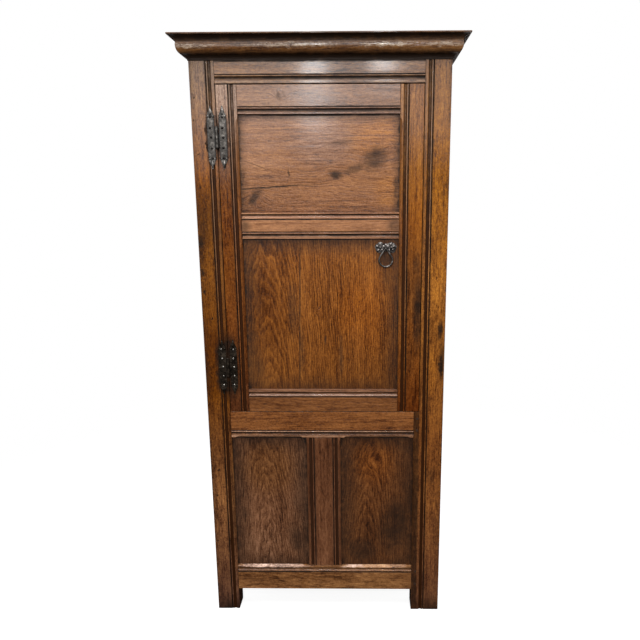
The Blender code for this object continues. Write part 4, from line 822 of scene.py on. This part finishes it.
# The upper hinge is scoured to a pewter grey, and the lower one is black.
PEWTER = iron("pewter", (0.085, 0.077, 0.069), (0.34, 0.31, 0.28), leaves=LEAF_COLUMNS.values())
BLACK = iron("black", (0.046, 0.034, 0.024), (0.125, 0.097, 0.070))
HANDLE_IRON = iron("handle", (0.118, 0.106, 0.098), (0.44, 0.41, 0.38), 0.33)
PETAL_IRON = iron("petal", (0.235, 0.208, 0.196), (0.80, 0.74, 0.70), 0.28, 0.97)
FINIAL = iron("finial", (0.120, 0.110, 0.100), (0.42, 0.39, 0.36), 0.30, 0.95)
DARK_NAIL = iron("dark_nail", (0.016, 0.014, 0.013), (0.06, 0.055, 0.05), 0.3, 0.6)
BRIGHT_NAIL = iron("bright_nail", (0.55, 0.52, 0.47), (0.80, 0.77, 0.72), 0.34, 0.5)
for node in ("frame_leaf", "pin", "door_leaf"):
    dress("hinge_upper_" + node, PEWTER, HINGE_ROUND, rejoin=True)
    dress("hinge_lower_" + node, BLACK, HINGE_ROUND, rejoin=True)
for node in ("handle_plate", "handle_staple", "handle_drop"):
    dress(node, HANDLE_IRON, HANDLE_ROUND)


def fitting(name, shape, material, body):
    """Make one piece from a mesh, let it ride on a body and take its finish from a slot."""
    mesh = bpy.data.meshes.new(name)
    shape.to_mesh(mesh)
    shape.free()
    mesh.materials.append(material)
    mesh.shade_smooth()
    mesh.set_sharp_from_angle(angle=SHARP_ABOVE)
    thing = bpy.data.objects.new(name, mesh)
    bpy.context.scene.collection.objects.link(thing)
    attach(thing, body)


def stud(shape, place, outward, profile, sides, chance, wobble):
    """Add a closed hammered stud: rings of a profile, as radius and height along outward."""
    turn = outward.to_track_quat("Z", "Y").to_matrix().to_4x4()
    twist = chance.uniform(0, math.tau)
    rings = []
    for radius, rise in profile:
        ring = []
        for k in range(sides):
            angle = twist + math.tau * k / sides
            reach = radius * (1 + chance.uniform(-wobble, wobble))
            point = Vector((reach * math.cos(angle), reach * math.sin(angle), rise))
            ring.append(shape.verts.new(Vector(place) + turn @ point))
        rings.append(ring)
    shape.faces.new(list(reversed(rings[0])))
    shape.faces.new(rings[-1])
    for lower, upper in zip(rings, rings[1:]):
        for k in range(sides):
            shape.faces.new((lower[k], lower[k - sides + 1], upper[k - sides + 1], upper[k]))


# Hand-made nails, five to a hinge leaf, none quite in line.
TOWARDS = Vector((0, -1, 0))
NAIL = [(0.0022, -0.0012), (0.0029, 0.0), (0.0026, 0.0007), (0.0016, 0.0014), (0.0006, 0.0017)]
BROAD_NAIL = [(0.0026, -0.0012), (0.0038, 0.0), (0.0035, 0.0006), (0.0022, 0.0013),
              (0.0008, 0.0016)]
NAILS = {"upper": (BROAD_NAIL, DARK_NAIL), "lower": (NAIL, BRIGHT_NAIL)}
NAIL_PITCH = 0.0290
NAIL_LEAN = {"frame": 0.0009, "door": 0.0004}
NAIL_STRAY = 0.0012
NAIL_SLIP = 0.0015
NAIL_SIDES = 8
NAIL_WOBBLE = 0.10
smith = random.Random(7)
for hinge, height in HINGE_LEVELS.items():
    profile, metal = NAILS[hinge]
    for leaf, body in LEAF_BODIES.items():
        nails = bmesh.new()
        for count in range(-2, 3):
            x = LEAF_COLUMNS[leaf] - NAIL_LEAN[leaf] * count + smith.uniform(-NAIL_STRAY, NAIL_STRAY)
            z = height + NAIL_PITCH * count + smith.uniform(-NAIL_SLIP, NAIL_SLIP)
            stud(nails, (x, LEAF_FACE, z), TOWARDS, profile, NAIL_SIDES, smith, NAIL_WOBBLE)
        fitting(f"hinge_{hinge}_{leaf}_nails", nails, metal, body)

# The ends of wooden pegs, on the front and on the sides.
PEG = [(0.0040, -0.0020), (0.0042, 0.0002), (0.0038, 0.0007), (0.0015, 0.0009)]
PEG_SIDES = 9
PEG_WOBBLE = 0.08
FRONT_PEGS = [(0.2977, 0.699), (0.2977, 0.658), (0.3005, 0.1470), (0.2994, 0.0997)]
SIDE_PEG_LEVELS = (0.104, 0.146, 0.655, 0.700, 1.735, 1.775)
SIDE_PEG_DEPTHS = (-0.150, 0.198)
PEG_SPECKLE = (420.0, 3.0, 0.6)
PEG_BUMP = (0.5, 0.0006)
PEG_ROUGHNESS = 0.5


def peg_wood():
    """Return dark end grain."""
    paint = Paint(bpy.data.materials.new("oak_peg"))
    speckle = paint.noise(paint.place(), *PEG_SPECKLE)
    colour = paint.ramp(speckle, [(0.30, (0.010, 0.006, 0.004)), (0.52, (0.045, 0.018, 0.008)),
                                  (0.75, (0.110, 0.048, 0.020))])
    return paint.finish(paint.node("BsdfPrincipled", {
        "Base Color": colour, "Roughness": PEG_ROUGHNESS,
        "Normal": paint.bump(*PEG_BUMP, speckle)}))


pegs = bmesh.new()
for x, z in FRONT_PEGS:
    stud(pegs, front(x, z), TOWARDS, PEG, PEG_SIDES, smith, PEG_WOBBLE)
for sign in (-1, 1):
    outward = Vector((sign, 0, 0))
    for z in SIDE_PEG_LEVELS:
        for y in SIDE_PEG_DEPTHS:
            stud(pegs, (SIDE_FACE * sign, y, z), outward, PEG, PEG_SIDES, smith, PEG_WOBBLE)
fitting("pegs", pegs, peg_wood(), "carcass")


def petal(shape, centre, radii, angle=0.0):
    """Add a closed low dome, half sunk in the plate, long in one direction."""
    turn = Matrix.Translation(centre) @ Matrix.Rotation(angle, 4, "Y") @ Matrix.Diagonal((*radii, 1.0))
    bmesh.ops.create_uvsphere(shape, u_segments=14, v_segments=9, radius=1.0, matrix=turn)


# Two raised flowers on the handle plate, and a boss above the staple.
FLOWER_ASIDE = 0.0165
FLOWER_UP = 0.0035
FLOWER_RADIUS = 0.0102
PETALS = 5
PETAL_RADII = (0.0034, 0.0014, 0.0050)
EYE_RADII = (0.0030, 0.0016, 0.0030)
BOSS = Vector((0.0, 0.0004, 0.0115))
BOSS_RADII = (0.0050, 0.0015, 0.0032)
petals = bmesh.new()
for sign in (-1, 1):
    middle = HANDLE + Vector((FLOWER_ASIDE * sign, 0.0, FLOWER_UP))
    for k in range(PETALS):
        angle = math.tau * k / PETALS
        out = Vector((math.sin(angle) * sign, 0.0, math.cos(angle)))
        petal(petals, middle + out * FLOWER_RADIUS, PETAL_RADII, math.atan2(out.x, out.z))
    petal(petals, middle, EYE_RADII)
petal(petals, HANDLE + BOSS, BOSS_RADII)
fitting("handle_petals", petals, PETAL_IRON, "door")

# Each hinge leaf ends in a raised spear between two small ears.
SPEAR_UP = 0.0745
SPEAR_RADII = (0.0042, 0.0017, 0.0120)
EAR_UP = 0.0600
EAR_ASIDE = 0.0073
EAR_RADII = (0.0028, 0.0013, 0.0036)
EAR_LEAN = 0.5
FINIALS = {"upper": FINIAL, "lower": BLACK}
for hinge, height in HINGE_LEVELS.items():
    for leaf, body in LEAF_BODIES.items():
        finials = bmesh.new()
        x = LEAF_COLUMNS[leaf]
        for end in (-1, 1):
            petal(finials, (x, LEAF_FACE, height + SPEAR_UP * end), SPEAR_RADII)
            for ear in (-1, 1):
                place = (x + EAR_ASIDE * ear, LEAF_FACE, height + EAR_UP * end)
                petal(finials, place, EAR_RADII, EAR_LEAN * ear * end)
        fitting(f"hinge_{hinge}_{leaf}_finials", finials, FINIALS[hinge], body)


def lamp(name, place, aim, size, radiance):
    """Add a soft box of a given brightness that faces a point."""
    light = bpy.data.lights.new(name, "AREA")
    light.shape = "RECTANGLE"
    light.size, light.size_y = size
    light.energy = radiance * math.pi * size[0] * size[1]
    thing = bpy.data.objects.new(name, light)
    thing.location = place
    thing.rotation_euler = (Vector(aim) - Vector(place)).to_track_quat("-Z", "Y").to_euler()
    bpy.context.scene.collection.objects.link(thing)


def sheet(name, corners, faces, material):
    """Add a flat or folded stage piece."""
    mesh = bpy.data.meshes.new(name)
    mesh.from_pydata(corners, [], faces)
    mesh.materials.append(material)
    thing = bpy.data.objects.new(name, mesh)
    bpy.context.scene.collection.objects.link(thing)
    return thing


def seen_rays(paint):
    """Return 1 for rays that show the background: to the camera, in gloss or by transmission."""
    path = paint.node("LightPath").outputs
    both = paint.math("ADD", path["Is Camera Ray"], path["Is Glossy Ray"])
    return paint.math("ADD", both, path["Is Transmission Ray"], clamp=True)


# A pale floor that fades into the background round the cupboard.
FLOOR_HALF = 2.2
FLOOR_GREY = (0.35, 0.35, 0.35, 1.0)
FLOOR_GLOW = 0.88
FLOOR_FADE = (0.9, 2.1)


def pale_floor():
    """Return a matt floor that glows for the rays that show the background."""
    paint = Paint(bpy.data.materials.new("pale_floor"))
    strength = paint.math("MULTIPLY", seen_rays(paint), FLOOR_GLOW)
    glow = paint.node("Emission", {"Strength": strength}).outputs[0]
    matt = paint.node("BsdfDiffuse", {"Color": FLOOR_GREY}).outputs[0]
    pale = paint.node("AddShader", {0: glow, 1: matt}).outputs[0]
    clear = paint.node("BsdfTransparent").outputs[0]
    away = paint.step(paint.vector("LENGTH", paint.place()), *FLOOR_FADE)
    return paint.finish(paint.node("MixShader", {0: away, 1: pale, 2: clear}))


floor_corners = [(FLOOR_HALF * x, FLOOR_HALF * y, 0) for x, y in ((-1, -1), (1, -1), (1, 1), (-1, 1))]
sheet("floor", floor_corners, [(0, 1, 2, 3)], pale_floor())

# A dark cloth round the front of the room and two wings beside the cupboard, seen by no camera,
# keep the waxed oak from going grey.
CLOTH_COLOUR = (0.03, 0.028, 0.026, 1.0)
CLOTH_SPAN = ((-3.6, 3.6), (0.23, -3.8), (0.003, 1.75, 5.4))
CLOTH_FACES = [(0, 3, 9, 6), (3, 4, 10, 9), (0, 2, 5, 3), (6, 9, 11, 8), (2, 8, 11, 5)]
WING_SPAN = ((-1.15, 1.15), (-0.7, 3.2), (0.003, 2.7))
WING_FACES = [(0, 1, 3, 2), (4, 6, 7, 5)]
cloth = Paint(bpy.data.materials.new("dark_cloth"))
dark_cloth = cloth.finish(cloth.node("BsdfDiffuse", {"Color": CLOTH_COLOUR}))
for name, span, faces in (("cloth", CLOTH_SPAN, CLOTH_FACES), ("wings", WING_SPAN, WING_FACES)):
    corners = [(x, y, z) for x in span[0] for y in span[1] for z in span[2]]
    drape = sheet(name, corners, faces, dark_cloth)
    drape.visible_camera = False
    drape.visible_diffuse = False
    drape.visible_shadow = False

# Each lamp has its place, the point it faces, its width and height, and its brightness.
LAMPS = {
    "left_spot": ((-0.29, -3.4, 2.36), (0.0, 0.0, 1.5), (0.18, 0.70), 29.0),
    "right_spot": ((0.28, -3.4, 2.54), (0.0, 0.0, 1.5), (0.18, 0.26), 34.0),
    "scrim": ((0.0, -3.6, 2.75), (0.0, 0.0, 1.2), (3.0, 1.7), 2.0),
    "window": ((-1.05, -3.5, 2.05), (0.0, 0.0, 1.2), (0.9, 0.9), 2.2),
    "overhead": ((0.0, -1.8, 5.0), (0.0, -0.2, 0.6), (4.0, 2.0), 5.4),
    "left_fill": ((-3.2, 0.4, 1.8), (0.0, 0.0, 0.9), (2.0, 2.0), 2.6),
    "right_fill": ((3.2, 0.4, 1.8), (0.0, 0.0, 0.9), (2.0, 2.0), 2.6),
    "back_fill": ((0.0, 3.4, 1.9), (0.0, 0.0, 0.9), (2.4, 2.0), 2.6),
}
for name, setting in LAMPS.items():
    lamp(name, *setting)

# The air lights the room dimly and shows white behind it.
AIR_LIGHT = 0.24
AIR_SEEN = 0.76
bpy.context.scene.world = bpy.data.worlds.new("studio")
air = Paint(bpy.context.scene.world)
brightness = air.math("MULTIPLY_ADD", seen_rays(air), AIR_SEEN, AIR_LIGHT)
air.finish(air.node("Background", {"Color": (1.0, 1.0, 1.0, 1.0), "Strength": brightness}))

# The camera where the photograph was taken. Its first three lengths are in pixels of the photo.
PHOTO_WIDTH = 640.0
FOCAL_LENGTH = 577.0
CENTRE_SHIFT = -38.3
SENSOR_WIDTH = 36.0
EYE = (0.1294, FRONT - 1.7686, 1.3791)
PITCH = math.radians(11.332)
YAW = math.radians(-0.692)
ROLL = math.radians(-0.159)
lens = bpy.data.cameras.new("camera")
lens.sensor_width = SENSOR_WIDTH
lens.lens = FOCAL_LENGTH / PHOTO_WIDTH * SENSOR_WIDTH
lens.shift_x = CENTRE_SHIFT / PHOTO_WIDTH
camera = bpy.data.objects.new("camera", lens)
forward = Vector((math.sin(YAW) * math.cos(PITCH), math.cos(YAW) * math.cos(PITCH), -math.sin(PITCH)))
sideways = Vector((math.cos(YAW), -math.sin(YAW), 0.0))
plumb = sideways.cross(forward)
right = sideways * math.cos(ROLL) + plumb * math.sin(ROLL)
up = plumb * math.cos(ROLL) - sideways * math.sin(ROLL)
facing = Matrix((right, up, -forward)).transposed().to_4x4()
camera.matrix_world = Matrix.Translation(EYE) @ facing
bpy.context.scene.collection.objects.link(camera)
bpy.context.scene.camera = camera

bpy.context.scene.view_settings.view_transform = "Standard"
